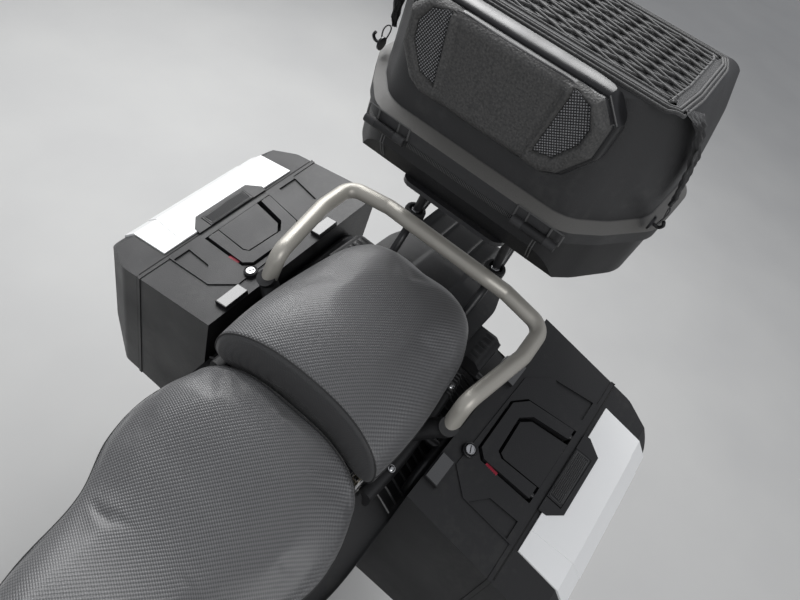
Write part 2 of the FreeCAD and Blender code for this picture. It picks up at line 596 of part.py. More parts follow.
def swingarm():
    """Two tapered arms, a pivot tube, a brace ahead of the tyre, and axle plates."""
    outer, inner = S.swingarm_width / 2, S.swingarm_width / 2 - S.swingarm_wall
    axle_height = REAR_AXLE_HEIGHT
    outline = [(-38, axle_height - 24), (60, axle_height - 30), (S.pivot_forward - 40, S.pivot_height - 34),
               (S.pivot_forward + 20, S.pivot_height - 30), (S.pivot_forward + 30, S.pivot_height + 24),
               (S.pivot_forward - 60, S.pivot_height + 38), (80, axle_height + 34), (-38, axle_height + 26)]
    shapes = []
    for low, high in ((inner, outer), (-outer, -inner)):
        shapes.append(side_plate(outline, low, high, 10))
    shapes.append(bar(PIVOT - v(0, outer, 0), PIVOT + v(0, outer, 0), 24))
    shapes.append(block((392, -inner - 2, 362), (430, inner + 2, 418)))
    body = fused(shapes)
    bolt = bar(PIVOT - v(0, outer + 25, 0), PIVOT + v(0, outer + 25, 0), 10.9)
    axle_hole = bar(v(0, -200, axle_height), v(0, 200, axle_height), S.rear_axle_radius)
    piece("swingarm", body.fuse(bolt).cut(axle_hole))

    centre = v(0, 0, axle_height)
    collar = S.chain_line + S.sprocket_thickness / 2 + S.seat_gap
    disc_collar = S.rear_disc_offset + S.sprocket_thickness / 2 + S.seat_gap
    parts = [bar(centre - v(0, outer + 4, 0), centre + v(0, outer + 4, 0), S.rear_axle_radius)]
    parts.append(bar(centre + v(0, collar, 0), centre + v(0, inner, 0), 20))
    parts.append(bar(centre - v(0, disc_collar, 0), centre - v(0, inner, 0), 20))
    for sign in (1, -1):
        parts.append(bar(centre + v(0, sign * outer, 0), centre + v(0, sign * (outer + 12), 0), 21))
    piece("rear_axle", fused(parts))

    rear = caliper(v(92, 0, axle_height + 52), centre, S.rear_disc_radius, -S.rear_disc_offset, -inner, -80)
    piece("rear_caliper", rear)

    top, foot = v(470, 0, 598), v(408, 0, 424)
    along = (top - foot).normalize()
    coil = []
    for index in range(5):
        coil.append(bar(foot + along * (40 + 20 * index), foot + along * (50 + 20 * index), 30))
    shock = fused([bar(foot, top, 19), bar(foot + along * 26, foot + along * 36, 34), bar(foot + along * 142, foot + along * 152, 34)] + coil)
    cross = bar(top - v(0, 120, 0), top + v(0, 120, 0), 9)
    eye = bar(foot - v(0, 20, 0), foot + v(0, 20, 0), 16)
    piece("rear_shock", fused([shock, eye, cross]).cut(body).cut(subframe_tubes(S.seat_gap)))


def engine():
    """Parallel twin: crankcase with round side covers, leaning cylinder block and head."""
    half = S.engine_half_width
    case = side_plate([(612, 330), (640, 296), (700, 282), (900, 282), (972, 330), (986, 410), (958, 480), (900, 508), (740, 520), (640, 500)],
                      -half, half, 22)
    pocket = block((560, 72, 300), (712, half + 10, 540))
    plate_room = [block((560, side, 300), (646, side + 60, 540)) for side in (S.pivot_plate_gap / 2 - S.seat_gap, S.seat_gap - S.pivot_plate_gap / 2 - 60)]
    shapes = [case.cut(pocket).cut(plate_room[0]).cut(plate_room[1])]
    for x, z, radius, low, high in ((838, 402, 104, -half - 34, -half), (838, 402, 78, -half - 44, -half - 34),
                                    (868, 396, 88, half, half + 30), (868, 396, 58, half + 30, half + 38),
                                    (702, 420, 52, -half - 16, -half)):
        shapes.append(bar(v(x, low, z), v(x, high, z), radius))
    shapes.append(bar(v(S.drive_forward, 60, S.drive_height), v(S.drive_forward, 104, S.drive_height), 13))
    low, high = S.chain_line - S.sprocket_thickness / 2, S.chain_line + S.sprocket_thickness / 2
    shapes.append(toothed(v(S.drive_forward, 0, S.drive_height), S.drive_pitch_radius + 0.8, 17, low, high))
    piece("engine_case", fused(shapes))

    lean = math.radians(S.cylinder_lean)
    up, ahead = v(math.sin(lean), 0, math.cos(lean)), v(math.cos(lean), 0, -math.sin(lean))
    base = v(842, 0, 506)

    def tilted(low, high, back, front, width, radius):
        corners = [base + up * low - ahead * back, base + up * low + ahead * front,
                   base + up * high + ahead * front, base + up * high - ahead * back]
        return plate([corner - v(0, width, 0) for corner in corners], radius, v(0, 2 * width, 0))

    width = S.cylinder_half_width
    head = [tilted(-6, 128, 92, 92, width, 6), tilted(122, 208, 104, 104, width + 12, 12), tilted(204, 262, 96, 96, width + 6, 22)]
    for level in range(10, 118, 18):
        head.append(tilted(level, level + 7, 97, 97, width + 5, 3))
    for side in (-45, 45):
        port = base + up * 165 + ahead * 100 + v(0, side, 0)
        head.append(bar(port, port + ahead * 16, 30))
        throat = base + up * 180 - ahead * 100 + v(0, side, 0)
        head.append(bar(throat, throat - ahead * 62, 27))
    block_and_head = fused(head).cut(side_plate([(560, 300), (1000, 300), (1000, 480), (958, 480), (900, 508), (740, 520), (560, 520)], -300, 300))
    piece("cylinder_head", block_and_head)

    port = base + up * 165 + ahead * (116 + S.seat_gap)
    pipes = []
    for side, foot in ((45, v(1004, 12, 292)), (-45, v(1010, -62, 292))):
        start = port + v(0, side, 0)
        pipes.append(tube([start, start + ahead * 46, v(1046, side, 420), foot, v(960, -42, 250)], S.header_radius, [26, 60, 30]))
        pipes.append(bar(start, start + ahead * 8, 30))
    pipes.append(tube([v(990, -38, 252), v(700, -92, 249), v(600, -172, 272), v(470, -176, 336), v(330, -185, 428), v(290, -185, 441)],
                      S.pipe_radius, [90, 60, 90, 60]))
    start, end = v(300, -185, 440), v(-220, -185, 500)
    along = (end - start).normalize()
    pipes.append(Part.makeCone(S.pipe_radius + 2, S.muffler_radius, 60, start, along))
    pipes.append(bar(start + along * 60, end - along * 50, S.muffler_radius))
    pipes.append(Part.makeCone(S.muffler_radius, 30, 50, end - along * 50, along))
    pipes.append(bar(start + along * 96, start + along * 116, S.muffler_radius + 3))
    exhaust = fused(pipes)
    exhaust = exhaust.fuse(block((276, -168, 466), (306, -132.3, 490)))
    exhaust = exhaust.cut(bar(end - along * 40, end + along * 5, 22))
    piece("exhaust", exhaust)

    stubs = [bar(v(stretch(1110), 0, 700), v(stretch(1110), side * 215.4, 700), 7) for side in (1, -1)]
    back = RADIATOR_BACK
    radiator = side_plate([(back + 1, 540), (back + 16, 772), (back + 44, 770), (back + 29, 538)], -165, 165, 4)
    tank = [(back - 3, 552), (back + 11, 762), (back + 48, 760), (back + 34, 550)]
    radiator = radiator.fuse(side_plate(tank, 165, 191, 10)).fuse(side_plate(tank, -191, -165, 10))
    piece("radiator", fused([radiator] + stubs))

    skid = side_plate([(692, 226), (712, 206), (1000, 206), (1086, 250), (1104, 350), (1100, 351), (1082, 252), (999, 210), (714, 210), (695, 229)],
                      -148, 148)
    wings = []
    for side in (1, -1):
        low, high = (144, 148) if side > 0 else (-148, -144)
        wings.append(side_plate([(694, 228), (713, 208), (998, 208), (1084, 252), (1100, 345), (1000, 262), (720, 262)], low, high))
    posts = [bar(v(x, y, 208), v(x, y, 284), 7) for x, y in ((730, 112), (910, 112), (800, -118), (910, -112))]
    cut_away = side_plate([(612, 330), (640, 296), (700, 282), (900, 282), (972, 330), (972, 400), (612, 400)], -200, 200)
    piece("skid_plate", fused([skid] + wings + posts).cut(cut_away))


def cross(x, left, radii):
    """Closed section across the machine: the left half from bottom to top and its mirror image."""
    points = [v(x, y, z) for y, z in left] + [v(x, -y, z) for y, z in reversed(left)]
    return loop(points, list(radii) + list(reversed(radii)))


def tank_solid():
    """Tank between the rider's knees, its front leaning with the steering axis."""
    sections = [
        cross(stretch(700), [(62, 800), (98, 830), (92, 878), (52, 902)], (12, 24, 24, 24)),
        cross(stretch(800), [(104, 792), (148, 840), (146, 930), (82, 988)], (16, 34, 34, 34)),
        cross(stretch(920), [(120, 802), (168, 862), (164, 978), (84, 1056)], (16, 40, 40, 40)),
        cross(stretch(1035), [(96, 885), (148, 915), (138, 1002), (72, 1050)], (16, 24, 30, 30)),
    ]
    return loft(sections)


def bodywork():
    """Tank, side fairings, nose cowl, headlamp, windscreen and instruments."""
    tank = tank_solid()
    cap = bar(v(stretch(930), 0, 1040), v(stretch(930), 0, 1066), 42)
    piece("fuel_tank", tank.fuse(cap))

    outline = [(1178, 962), (1150, 800), (1118, 668), (1010, 628), (892, 742), (872, 880), (985, 985), (1096, 1018)]

    def out(x):
        return 172 + (x - 872) * 0.19

    skins = []
    for side in (1, -1):
        points = [v(stretch(x), side * out(x), z) for x, z in outline]
        normal = v(-0.19, 1, 0).normalize()
        skin = plate(points, 26, v(normal.x, side * normal.y, 0) * S.panel_thickness)
        boss = bar(v(stretch(985), side * (out(985) + 1), 930), v(stretch(985), side * 100, 930), 9)
        skins.append(skin.fuse(boss.cut(tank)))
    piece("side_fairings", Part.makeCompound(skins))

    def cowl(inset, rear, front):
        return loft([
            cross(stretch(rear), [(128 - inset, 922 + inset), (150 - inset, 956), (132 - inset, 1040), (64, 1082 - inset)], (14, 30, 30, 26)),
            cross(stretch(1400), [(100 - inset, 880 + inset), (124 - inset, 915), (104 - inset, 1004), (50, 1034 - inset)], (12, 24, 24, 20)),
            cross(stretch(front), [(34 - inset, 838 + inset), (52 - inset, 850), (46 - inset, 868), (24, 880 - inset)], (4, 6, 6, 6)),
        ], True)

    lamp_room = block((stretch(1300), -86, 905), (stretch(1470), 86, 985))
    nose = cowl(0, 1290, 1560).cut(cowl(S.panel_thickness + 1, 1288, 1500)).cut(lamp_room)
    fork_sweep = bar(steer(450), steer(900), S.fork_spacing / 2 + 52)
    nose = nose.cut(bar(v(stretch(1300), -144, 1000), v(stretch(1300), 144, 1000), 8)).cut(fork_sweep)
    piece("nose_cowl", nose)
    lamp = block((stretch(1330), S.seat_gap - 86, 905 + S.seat_gap), (stretch(1428), 86 - S.seat_gap, 985 - S.seat_gap))
    piece("headlamp", lamp)

    screen_outline = [(-160, 1072), (160, 1072), (158, 1230), (112, 1372), (-112, 1372), (-158, 1230)]
    base, lean = v(stretch(1290) - 366, 0, 900), v(-0.30, 0, 1)
    bend = Part.makeCylinder(420, 560, base, lean).cut(Part.makeCylinder(420 - S.screen_thickness, 560, base, lean))
    front = plate([v(base.x + 76, y, z) for y, z in screen_outline], 30, v(500, 0, 0))
    piece("windscreen", bend.common(front).cut(cowl(-S.seat_gap, 1290.3, 1560)))

    dash_side = ((1222, 1146), (1236, 1226), (1252, 1222), (1278, 1134), (1250, 1124))
    dash = side_plate([(stretch(x), z) for x, z in dash_side], -86, 86, 5)
    piece("instruments", dash)


def seats():
    """Stepped two-piece seat: low rider's seat with a raised rear, and the higher pillion seat."""

    def section(x, half, bottom, edge, crown):
        rise = crown - edge
        return cross(x, [(half * 0.88, bottom), (half, edge - 6), (half * 0.9, edge + 0.5 * rise), (half * 0.42, crown)],
                     (5, 9, 0.24 * half, 0.34 * half))

    rider = [(208, 152, 846, 868, 929), (290, 184, 812, 842, 912), (400, 178, 788, 822, 868),
             (480, 140, 784, 818, 845), (600, 113, 790, 822, 856), (692, 76, 806, 836, 876)]
    pillion = [(250, 158, 890, 922, 986), (200, 168, 886, 920, 1008), (60, 158, 896, 940, 1020),
               (-60, 128, 914, 962, 1030), (-96, 104, 930, 968, 1024)]
    seam_centre = v(S.seat_seam_back + S.seat_seam_radius, 0, 700)
    ahead = Part.makeCylinder(S.seat_seam_radius, 400, seam_centre)
    behind = Part.makeCylinder(S.seat_seam_radius + S.seat_gap, 400, seam_centre)
    tubes = subframe_tubes(S.seat_gap)
    piece("rider_seat", loft([section(*row) for row in rider]).common(ahead).cut(tubes))
    piece("pillion_seat", loft([section(*row) for row in pillion]).cut(behind).cut(tail_hull(-S.seat_gap, 0, 0)))


def tail_hull(inset, front, rear):
    """Body of the tail under the pillion seat; an inset one is open below and in front."""
    rows = [(214, 150, 812, 893), (60, 146, 832, 904), (-90, 116, 862, 932), (-150, 92, 884, 936)]
    rows[0] = (rows[0][0] + front,) + rows[0][1:]
    rows[-1] = (rows[-1][0] - rear,) + rows[-1][1:]
    depth = 40 if inset else 0
    return loft([cross(x, [(half - inset, low - depth), (half - inset, high - inset - 18), (half - inset - 22, high - inset)],
                       (0, 0, 0)) for x, half, low, high in rows], True)


def tail():
    """Tail shell under the pillion seat, grab rail, lamp and plate holder."""

    shell = tail_hull(0, 0, 0).cut(tail_hull(S.panel_thickness, 20, -S.panel_thickness))
    piece("tail_shell", shell.cut(luggage_tubes(2.5)))

    left = [v(96, 150, 874), v(82, 197, 930), v(66, 197, 991), v(-70, 221, 1004), v(-143, 218, 1016), v(-146, 130, 1030), v(-132, 92, 1042)]
    points = left + [v(p.x, -p.y, p.z) for p in reversed(left)]
    rail = tube(points, S.rail_radius, [24, 24, 60, 28, 22, 30, 30, 22, 28, 60, 24, 24])
    piece("grab_rail", rail.cut(tail_hull(-S.seat_gap, 0, 0)))

    lamp = plan_plate([(-150.3, 78), (-178, 70), (-178, -70), (-150.3, -78)], 892, 930, 6)
    piece("tail_lamp", lamp)

    arm = plate([v(-70, -46, 866), v(-154, -46, 880), v(-300, -46, 700), v(-322, -46, 640), v(-316, -46, 636), v(-292, -46, 694),
                 v(-150, -46, 872), v(-70, -46, 858)], 0, v(0, 92, 0))
    number_plate = plate([v(-328, -92, 610), v(-300, -92, 742), v(-304, -92, 743), v(-332, -92, 611)], 0, v(0, 184, 0))
    stalks = []
    for side in (1, -1):
        stalks.append(bar(v(-196, side * 40, 826), v(-196, side * 96, 826), 6))
        stalks.append(bar(v(-214, side * 112, 826), v(-180, side * 112, 826), 22))
    bosses = [bar(v(-92, side * 30, 864), v(-92, side * 30, 888), 7) for side in (1, -1)]
    holder = fused([arm, number_plate] + stalks + bosses).cut(subframe_tubes(S.seat_gap))
    across = v(-132, 0, 28).normalize()
    for side in (1, -1):
        centre = v(-316, side * 72, 676.6)
        holder = holder.cut(bar(centre - across * 10, centre + across * 10, S.plate_screw_radius))
    piece("plate_holder", holder)


def pegs():
    """Rider's and pillion's foot pegs on their plates."""
    left = []
    plate_out = S.pivot_plate_gap / 2 + S.pivot_plate
    left.append(side_plate([(520, 345), (575, 345), (580, 400), (520, 400)], plate_out + S.seat_gap, plate_out + 8, 6))
    left.append(bar(v(546, plate_out + 4, 366), v(546, plate_out + 26, 366), 9))
    left.append(block((528, plate_out + 22, 356), (564, plate_out + 108, 376)))
    rear = [side_plate([(276, 480), (318, 480), (420, 600), (398, 628), (330, 640)], 126, 132, 10)]
    rear.append(bar(v(296, 130, 500), v(296, 156, 500), 8))
    rear.append(block((282, 152, 492), (310, 232, 508)))
    piece("foot_pegs", Part.makeCompound(both_sides(fused(left)) + both_sides(fused(rear))))


def luggage_tubes(extra):
    """Side loops for the cases, their struts to the subframe, and posts up to the top case's plate."""
    side = S.case_inner - S.seat_gap - 9
    shapes = []
    for sign in (1, -1):
        y = sign * side
        corners = [v(140, y, 640), v(140, y, 842), v(-190, y, 884), v(-190, y, 640)]
        shapes.append(tube([v(0, y, 640)] + corners + [v(-20, y, 640)], 9 + extra, 40))
        shapes.append(bar(v(-25, y, 640), v(5, y, 640), 9 + extra))
        for x, z, inner_z, inner in ((70, 852, 852, 106), (-88, 871, 889, 88)):
            shapes.append(bar(v(x, y, z), v(x, sign * inner, inner_z), 8 + extra))
        shapes.append(tube([v(140, y, 700), v(210, y, 640), v(330, sign * 140.3, 600)], 8 + extra, 30))
        shapes.append(tube([v(-98, sign * 88, 892), v(-168, sign * 92, 990), v(-178, sign * 82, 1163)], 8 + extra, 50))
        shapes.append(bar(v(-300, sign * 82, 1163), v(-178, sign * 92, 1010), 7 + extra))
    return fused(shapes)


def luggage_frame():
    """Bent-tube side carriers and the plate under the top case."""
    top = plan_plate([(-62, 96), (-330, 96), (-330, -96), (-62, -96)], S.top_bottom - S.seat_gap - 8, S.top_bottom - S.seat_gap, 20)
    piece("luggage_frame", fused([luggage_tubes(0), top]).cut(subframe_tubes(S.seat_gap)))


CASE_PITCH, CASE_SLOPE = math.tan(math.radians(S.case_pitch)), math.tan(math.radians(S.case_slope))
CASE_UP = v(CASE_PITCH, CASE_SLOPE, 1).normalize()


def on_case(x, y, lift=0):
    """A place on the sloping top of the left side case, or raised square to it."""
    level = S.case_top - (x - S.case_lock_forward) * CASE_PITCH - (y - S.case_inner) * CASE_SLOPE
    return v(x, y, level) + CASE_UP * lift


def case_outside(inset, low, high):
    """Side case filled solid: front and rear sections joined, its plan corners rounded."""
    front, rear = S.case_front - inset, S.case_rear + inset
    inner, outer, bottom = S.case_inner + inset, S.case_outer - inset, S.case_bottom + inset
    sections = []
    for x in (front, rear):
        corners = [v(x, inner, bottom), v(x, outer - 74, bottom), v(x, outer, S.case_bottom + 96),
                   on_case(x, outer - 26) - v(0, -26, inset + 26), on_case(x, outer - 26) - v(0, 0, inset),
                   on_case(x, inner) - v(0, 0, inset)]
        sections.append(Part.Wire(Part.makePolygon(corners + corners[:1])))
    solid = loft(sections, True)
    plan = plan_plate([(front, S.case_inner - 5), (front, S.case_seam + 40), (front - 34, S.case_outer - inset),
                       (rear + 34, S.case_outer - inset), (rear, S.case_seam + 40), (rear, S.case_inner - 5)],
                      S.case_bottom - 50, S.case_top + 100, [0, S.case_corner, S.case_corner, S.case_corner, S.case_corner, 0])
    slice_box = block((rear - 60, low, S.case_bottom - 60), (front + 60, high, S.case_top + 120))
    return solid.common(plan).common(slice_box)


# Outlines on the sloping top of a side case, as places ahead of the rear axle and out from the middle.
CASE_OUTLINES = {
    "raised": ((104, 241), (136, 280), (134, 380), (-184, 380), (-157, 287), (-112, 246)),
    "front_pocket": ((134, 290), (103, 314), (97, 370), (132, 370)),
    "rear_pocket": ((-157, 292), (-128, 318), (-134, 370), (-180, 370)),
    "recess": ((60, 370), (68, 268), (54, 252), (-55, 250), (-84, 272), (-108, 372)),
    "handle": ((56, 364), (64, 270), (52, 256), (-53, 254), (-80, 275), (-103, 366)),
    "handle_hole": ((31, 370), (41, 292), (35, 281), (-40, 277), (-62, 296), (-82, 372)),
    "island": ((25, 382), (35, 297), (31, 288), (-38, 284), (-56, 300), (-76, 382)),
    "front_lug": ((158, 238), (158, 213), (108, 213), (106, 236)),
    "rear_lug": ((-76, 236), (-74, 213), (-124, 213), (-126, 238)),
    "latch_frame": ((57, 386), (54, 402), (31, 426), (-98, 427), (-116, 398), (-112, 386)),
    "latch": ((28, 386), (26, 415), (-83, 418), (-79, 387)),
    "panel_middle": ((93, 380), (75, 520), (-152, 520), (-147, 380)),
}


def case_plate(name, low, high, grow=0):
    """One of the outlines on the case's top, given a thickness from low to high above it."""
    outline = loop([on_case(x, y, low) for x, y in CASE_OUTLINES[name]])
    if grow:
        outline = outline.makeOffset2D(grow, 2)
    return Part.Face(outline).extrude(CASE_UP * (high - low))


def knuckle(centre, along, low, high, radius):
    """Part of a hinge's barrel, from low to high along its pin."""
    return bar(centre + along * low, centre + along * high, radius)


def hinge(fixed, moving, centre, along):
    """Three knuckles on a pin: the middle one on the fixed piece and the outer two on the moving one."""
    half, gap, room = 18, S.seat_gap, S.hinge_radius + 0.5
    spans = ((-2 * half, -half - gap), (half + gap, 2 * half))
    fixed = fixed.fuse(knuckle(centre, along, -half, half, S.hinge_radius))
    moving = moving.cut(knuckle(centre, along, -half - gap, half + gap, room))
    for low, high in spans:
        fixed = fixed.cut(knuckle(centre, along, low - gap, high + gap, room))
        moving = moving.fuse(knuckle(centre, along, low, high, S.hinge_radius))
    fixed = fixed.fuse(knuckle(centre, along, -half * 2, half * 2, S.hinge_pin_radius))
    moving = moving.cut(knuckle(centre, along, -half * 2 - 1, half * 2 + 1, S.hinge_pin_radius + gap))
    return fixed, moving


def side_cases():
    """Hollow shells split along an upright seam: fixed inner half, and a lid hinged at its foot."""
    gap, wall = S.lid_gap / 2, S.case_wall
    inner, outer = S.case_inner - 5, S.case_outer + 10
    shell = case_outside(0, inner, S.case_seam - gap).cut(case_outside(wall, inner, S.case_seam + 5))
    rib = case_outside(-1.5, S.case_seam - 7, S.case_seam - gap).cut(case_outside(wall, inner, S.case_seam + 5))
    depth = 20
    tub = case_plate("recess", -depth - wall, 0, wall)
    shell = fused([shell, rib, tub, case_plate("raised", -1, 2.5), case_plate("front_lug", -1, 9), case_plate("rear_lug", -1, 9)])
    shell = shell.cut(case_plate("recess", -depth, 10)).cut(case_plate("front_pocket", -1, 10)).cut(case_plate("rear_pocket", -1, 10))
    handle = case_plate("handle", -7, 7).cut(case_plate("handle_hole", -8, 8))
    lock_place = (S.case_lock_forward, S.case_lock_side)
    lock = bar(on_case(*lock_place, -8), on_case(*lock_place, 5), 13)
    extras = [case_plate("island", -depth - 1, 2), handle, lock]
    for x in (44, -92):
        extras.append(bar(on_case(x, 355, 0), on_case(x, 378, -4), 5))
    shell = fused([shell] + extras)

    lid = case_outside(0, S.case_seam + gap, S.case_outer + 5)
    lid = lid.cut(case_outside(wall, S.case_seam - 5, S.case_outer - wall))
    lid = fused([lid, case_plate("latch_frame", -1, 5)]).cut(case_plate("latch", 2, 10, 1.5)).fuse(case_plate("latch", 1, 6))
    for x in (105, -155):
        shell, lid = hinge(shell, lid, v(x, S.case_seam, S.case_bottom), v(1, 0, 0))

    zone = block((-192, S.case_seam + 10, S.case_bottom + 110), (132, S.case_outer + 20, S.case_top + 60))
    panel = case_outside(-S.panel_thickness, S.case_seam, outer).cut(case_outside(0, S.case_seam - 5, outer))
    middle = case_outside(-S.panel_thickness - 1, S.case_seam, outer).cut(case_outside(0, S.case_seam - 5, outer))
    middle_zone = plan_plate(CASE_OUTLINES["panel_middle"], S.case_bottom, S.case_top + 60)
    panel = panel.fuse(middle.common(middle_zone)).common(zone).cut(case_plate("latch_frame", -20, 30, S.seat_gap))
    for name, shape in (("case", shell), ("case_lid", lid), ("lid_panel", panel)):
        left, right = both_sides(shape)
        piece(f"left_{name}", left)
        piece(f"right_{name}", right)


def top_outline(inset, level):
    """The top case's outline seen from above, shrunk by an inset, at one height."""
    front, rear, half = S.top_front - inset, 8 - S.tail_reach + inset, S.top_half_width - 8 - inset
    slant = 0.3 * inset
    left = [(front, 158 - slant), (front - 55, 205 - slant), (-182, half - 9), (-340, half), (rear + 42, 214 - slant), (rear, 140 - slant)]
    points = left + [(x, -y) for x, y in reversed(left)]
    radii = [60, 90, 90, 90, 60, 60]
    return loop([v(x, y, level) for x, y in points], radii + radii[::-1])


def top_plan(inset, low, high):
    """The same outline given a height."""
    return Part.Face(top_outline(inset, low)).extrude(v(0, 0, high - low))


def top_case():
    """Hollow base, a lid with a deep skirt hinged at its front foot, a back pad and an elastic net."""
    split, wall = S.top_bottom + S.top_base_height, S.top_wall
    summit = S.top_bottom + S.top_case_height
    rear = -S.tail_reach

    def level(share):
        return split + share * (summit - split)

    def base_sides(inset):
        foot = S.top_bottom + 44
        return side_plate([(S.top_front - inset, split), (S.top_front - inset, foot), (S.top_front - 30, S.top_bottom + inset),
                           (rear + 40, S.top_bottom + inset), (rear + inset, foot), (rear + inset, split)], -320, 320)

    base = top_plan(0, S.top_bottom, split - S.lid_gap).common(base_sides(0))
    base = base.cut(top_plan(wall, S.top_bottom, split).common(base_sides(wall)))
    rail = bar(v(S.top_front - 1, -150, split - 7), v(S.top_front - 1, 150, split - 7), 5)
    rail = rail.cut(block((S.top_front - 20, -200, S.top_bottom), (S.top_front - wall, 200, split)))
    base = fused([base, rail])

    def skirt_room(inset, low):
        """Upright rim of the lid, and the ledge that slopes in to the foot of its walls."""
        brow, foot = split + 19 - inset, split + 30 - inset
        ledge = loft([top_outline(inset - 8, brow), top_outline(inset + S.top_ledge - 8, foot)], True)
        return top_plan(inset - 8, low, brow).fuse(ledge)

    def body_room(inset, low):
        """Walls and roof of the lid."""
        high, set_back = summit - inset, inset + S.top_ledge - 8
        front, back, half = S.top_front - set_back, rear + set_back, S.top_half_width - 8 - set_back
        profile = side_plate([(front, low), (front, high), (-352, high), (back + 26, level(0.8)), (back, level(0.35)), (back, low)],
                             -320, 320, [0, 16, 60, 60, 60, 0])
        left = ((half, low), (half, level(0.35)), (half - 15, level(0.68)), (half - 42, high))
        ends = left + tuple((-y, z) for y, z in reversed(left))
        ends = plate([v(100, y, z) for y, z in ends], [0, 60, 60, 30, 30, 60, 60, 0], v(-700, 0, 0))
        return top_plan(set_back, low, high).common(profile).common(ends)

    outer = skirt_room(0, split).fuse(body_room(0, split))
    lid = fused([outer.cut(skirt_room(12, split - 30)).cut(body_room(wall, split - 10))])
    for side in (1, -1):
        leaf = block((S.top_front - 3, side * 132 - 18, split - 8), (S.top_hinge_forward, side * 132 + 18, split - 4))
        base, lid = hinge(base.fuse(leaf), lid, v(S.top_hinge_forward, side * 132, split - 2), v(0, 1, 0))
    piece("top_case_base", base)
    piece("top_case_lid", lid)

    pad_back = ((-96, 0.34), (96, 0.34), (154, 0.62), (154, 0.86), (126, 0.995), (-126, 0.995), (-154, 0.86), (-154, 0.62))
    wall_place, face = S.top_front + 8 - S.top_ledge, -12
    pad = plate([v(wall_place, y, level(share)) for y, share in pad_back], 16, v(face - wall_place, 0, 0))
    pad_side = ((face, 0.44), (face - 14, 0.33), (-100, 0.33), (-100, 1), (face - 6, 1), (face, 0.96))
    pad = pad.common(side_plate([(x, level(share)) for x, share in pad_side], -200, 200))
    piece("back_pad", pad.cut(outer))
    net_corners = [(-75, 186), (-75, -186), (-330, -186), (-330, 186)]
    piece("cargo_net", plan_plate(net_corners, summit + S.seat_gap, summit + 3, 30))


def stands():
    """Centre stand, down, and side stand, folded back."""
    pivot = v(S.stand_pivot_forward, 0, S.stand_pivot_height)
    foot = v(S.stand_foot_forward, 0, S.stand_foot_radius)
    shapes = []
    for side in (1, -1):
        shapes.append(bar(pivot + v(0, side * 104, 0), pivot + v(0, side * 136, 0), 18))
        shapes.append(bar(pivot + v(0, side * 110, 0), pivot + v(0, side * 152, 0), 10))
        shapes.append(bar(pivot + v(0, side * 116, 0), foot + v(0, side * 146, 10), S.stand_tube_radius))
        shapes.append(bar(foot + v(0, side * 122, 0), foot + v(0, side * 168, 0), S.stand_foot_radius))
    rung = pivot + (foot - pivot).normalize() * 92
    shapes.append(bar(rung - v(0, 124, 0), rung + v(0, 124, 0), 11))
    shapes.append(tube([foot + v(0, 150, 36), foot + v(-50, 158, 60), foot + v(-96, 186, 74)], 8, 30))
    piece("centre_stand", fused(shapes))

    root = v(603, 174, 272)
    swing = v(0, -0.932, -0.362)
    shapes = [bar(root, root + v(-236, 6, -8), 10), bar(root + swing * 12.4, root - swing * 12, 14)]
    shapes.append(block((root.x - 256, root.y - 12, root.z - 30), (root.x - 226, root.y + 28, root.z + 22)))
    piece("side_stand", fused(shapes))


wheels()
chain()
rear_drive()
fork()
steering()
brakes()
frame()
swingarm()
engine()
bodywork()
seats()
tail()
pegs()
luggage_frame()
side_cases()
top_case()
stands()


doc.recompute()
for thing in doc.Objects:
    if "Invalid" in thing.State or "Error" in thing.State:
        raise RuntimeError(f"{thing.Label} did not rebuild: {thing.State}")
for thing in PARTS:
    if thing.Shape.isNull() or not thing.Shape.isValid():
        raise RuntimeError(f"{thing.Label} has no valid shape")
for thing in PARTS:
    thing.Shape.exportStep(f"parts/{thing.Label}.step")
    box = thing.Shape.BoundBox
    print(f"{thing.Label}: {len(thing.Shape.Solids)} solids, {thing.Shape.Volume / 1e6:.3f} l, "
          f"x {box.XMin:.0f} to {box.XMax:.0f}, y {box.YMin:.0f} to {box.YMax:.0f}, z {box.ZMin:.0f} to {box.ZMax:.0f}")
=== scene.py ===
# %% [markdown]
# # An adventure motorcycle, dressed around its CAD frame
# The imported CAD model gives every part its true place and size. This notebook adds what CAD leaves out:
# vinyl, weave, tread, bolts, springs and hoses. Each step first says what the real piece is, how it could
# be made, and why one way was chosen.

import math

import bpy
import numpy as np
from mathutils import Matrix, Vector


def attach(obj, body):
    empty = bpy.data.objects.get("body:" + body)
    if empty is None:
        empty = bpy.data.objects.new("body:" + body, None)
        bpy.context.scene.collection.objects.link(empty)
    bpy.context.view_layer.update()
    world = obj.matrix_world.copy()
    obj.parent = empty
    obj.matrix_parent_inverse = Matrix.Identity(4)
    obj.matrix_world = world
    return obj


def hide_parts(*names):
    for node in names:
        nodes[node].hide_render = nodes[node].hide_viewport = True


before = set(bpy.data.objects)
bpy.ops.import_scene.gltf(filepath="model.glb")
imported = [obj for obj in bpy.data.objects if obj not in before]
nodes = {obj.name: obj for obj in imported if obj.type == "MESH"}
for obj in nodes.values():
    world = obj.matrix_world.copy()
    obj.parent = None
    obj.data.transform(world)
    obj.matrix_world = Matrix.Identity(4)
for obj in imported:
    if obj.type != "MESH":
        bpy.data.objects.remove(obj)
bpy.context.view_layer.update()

# %% [markdown]
# ## Places
# The drawings give places ahead of the rear axle, so that numbers stay easy to read. The frame's origin is
# the middle of the machine's length. Two helpers turn drawn millimetres into the frame's metres.

# %% From the drawing to the frame
REAR_AXLE = -0.6895
SIDES = (("left", 1), ("right", -1))


def drawn(points):
    """Places in millimetres ahead of the rear axle, to the left and up, as metres in the frame."""
    return np.asarray(points, float) / 1000 + (REAR_AXLE, 0, 0)


def placed(a, y, z):
    """The same from rows or grids of the three values; a single value goes with all the others."""
    return drawn(np.stack(np.broadcast_arrays(a, y, z), -1))


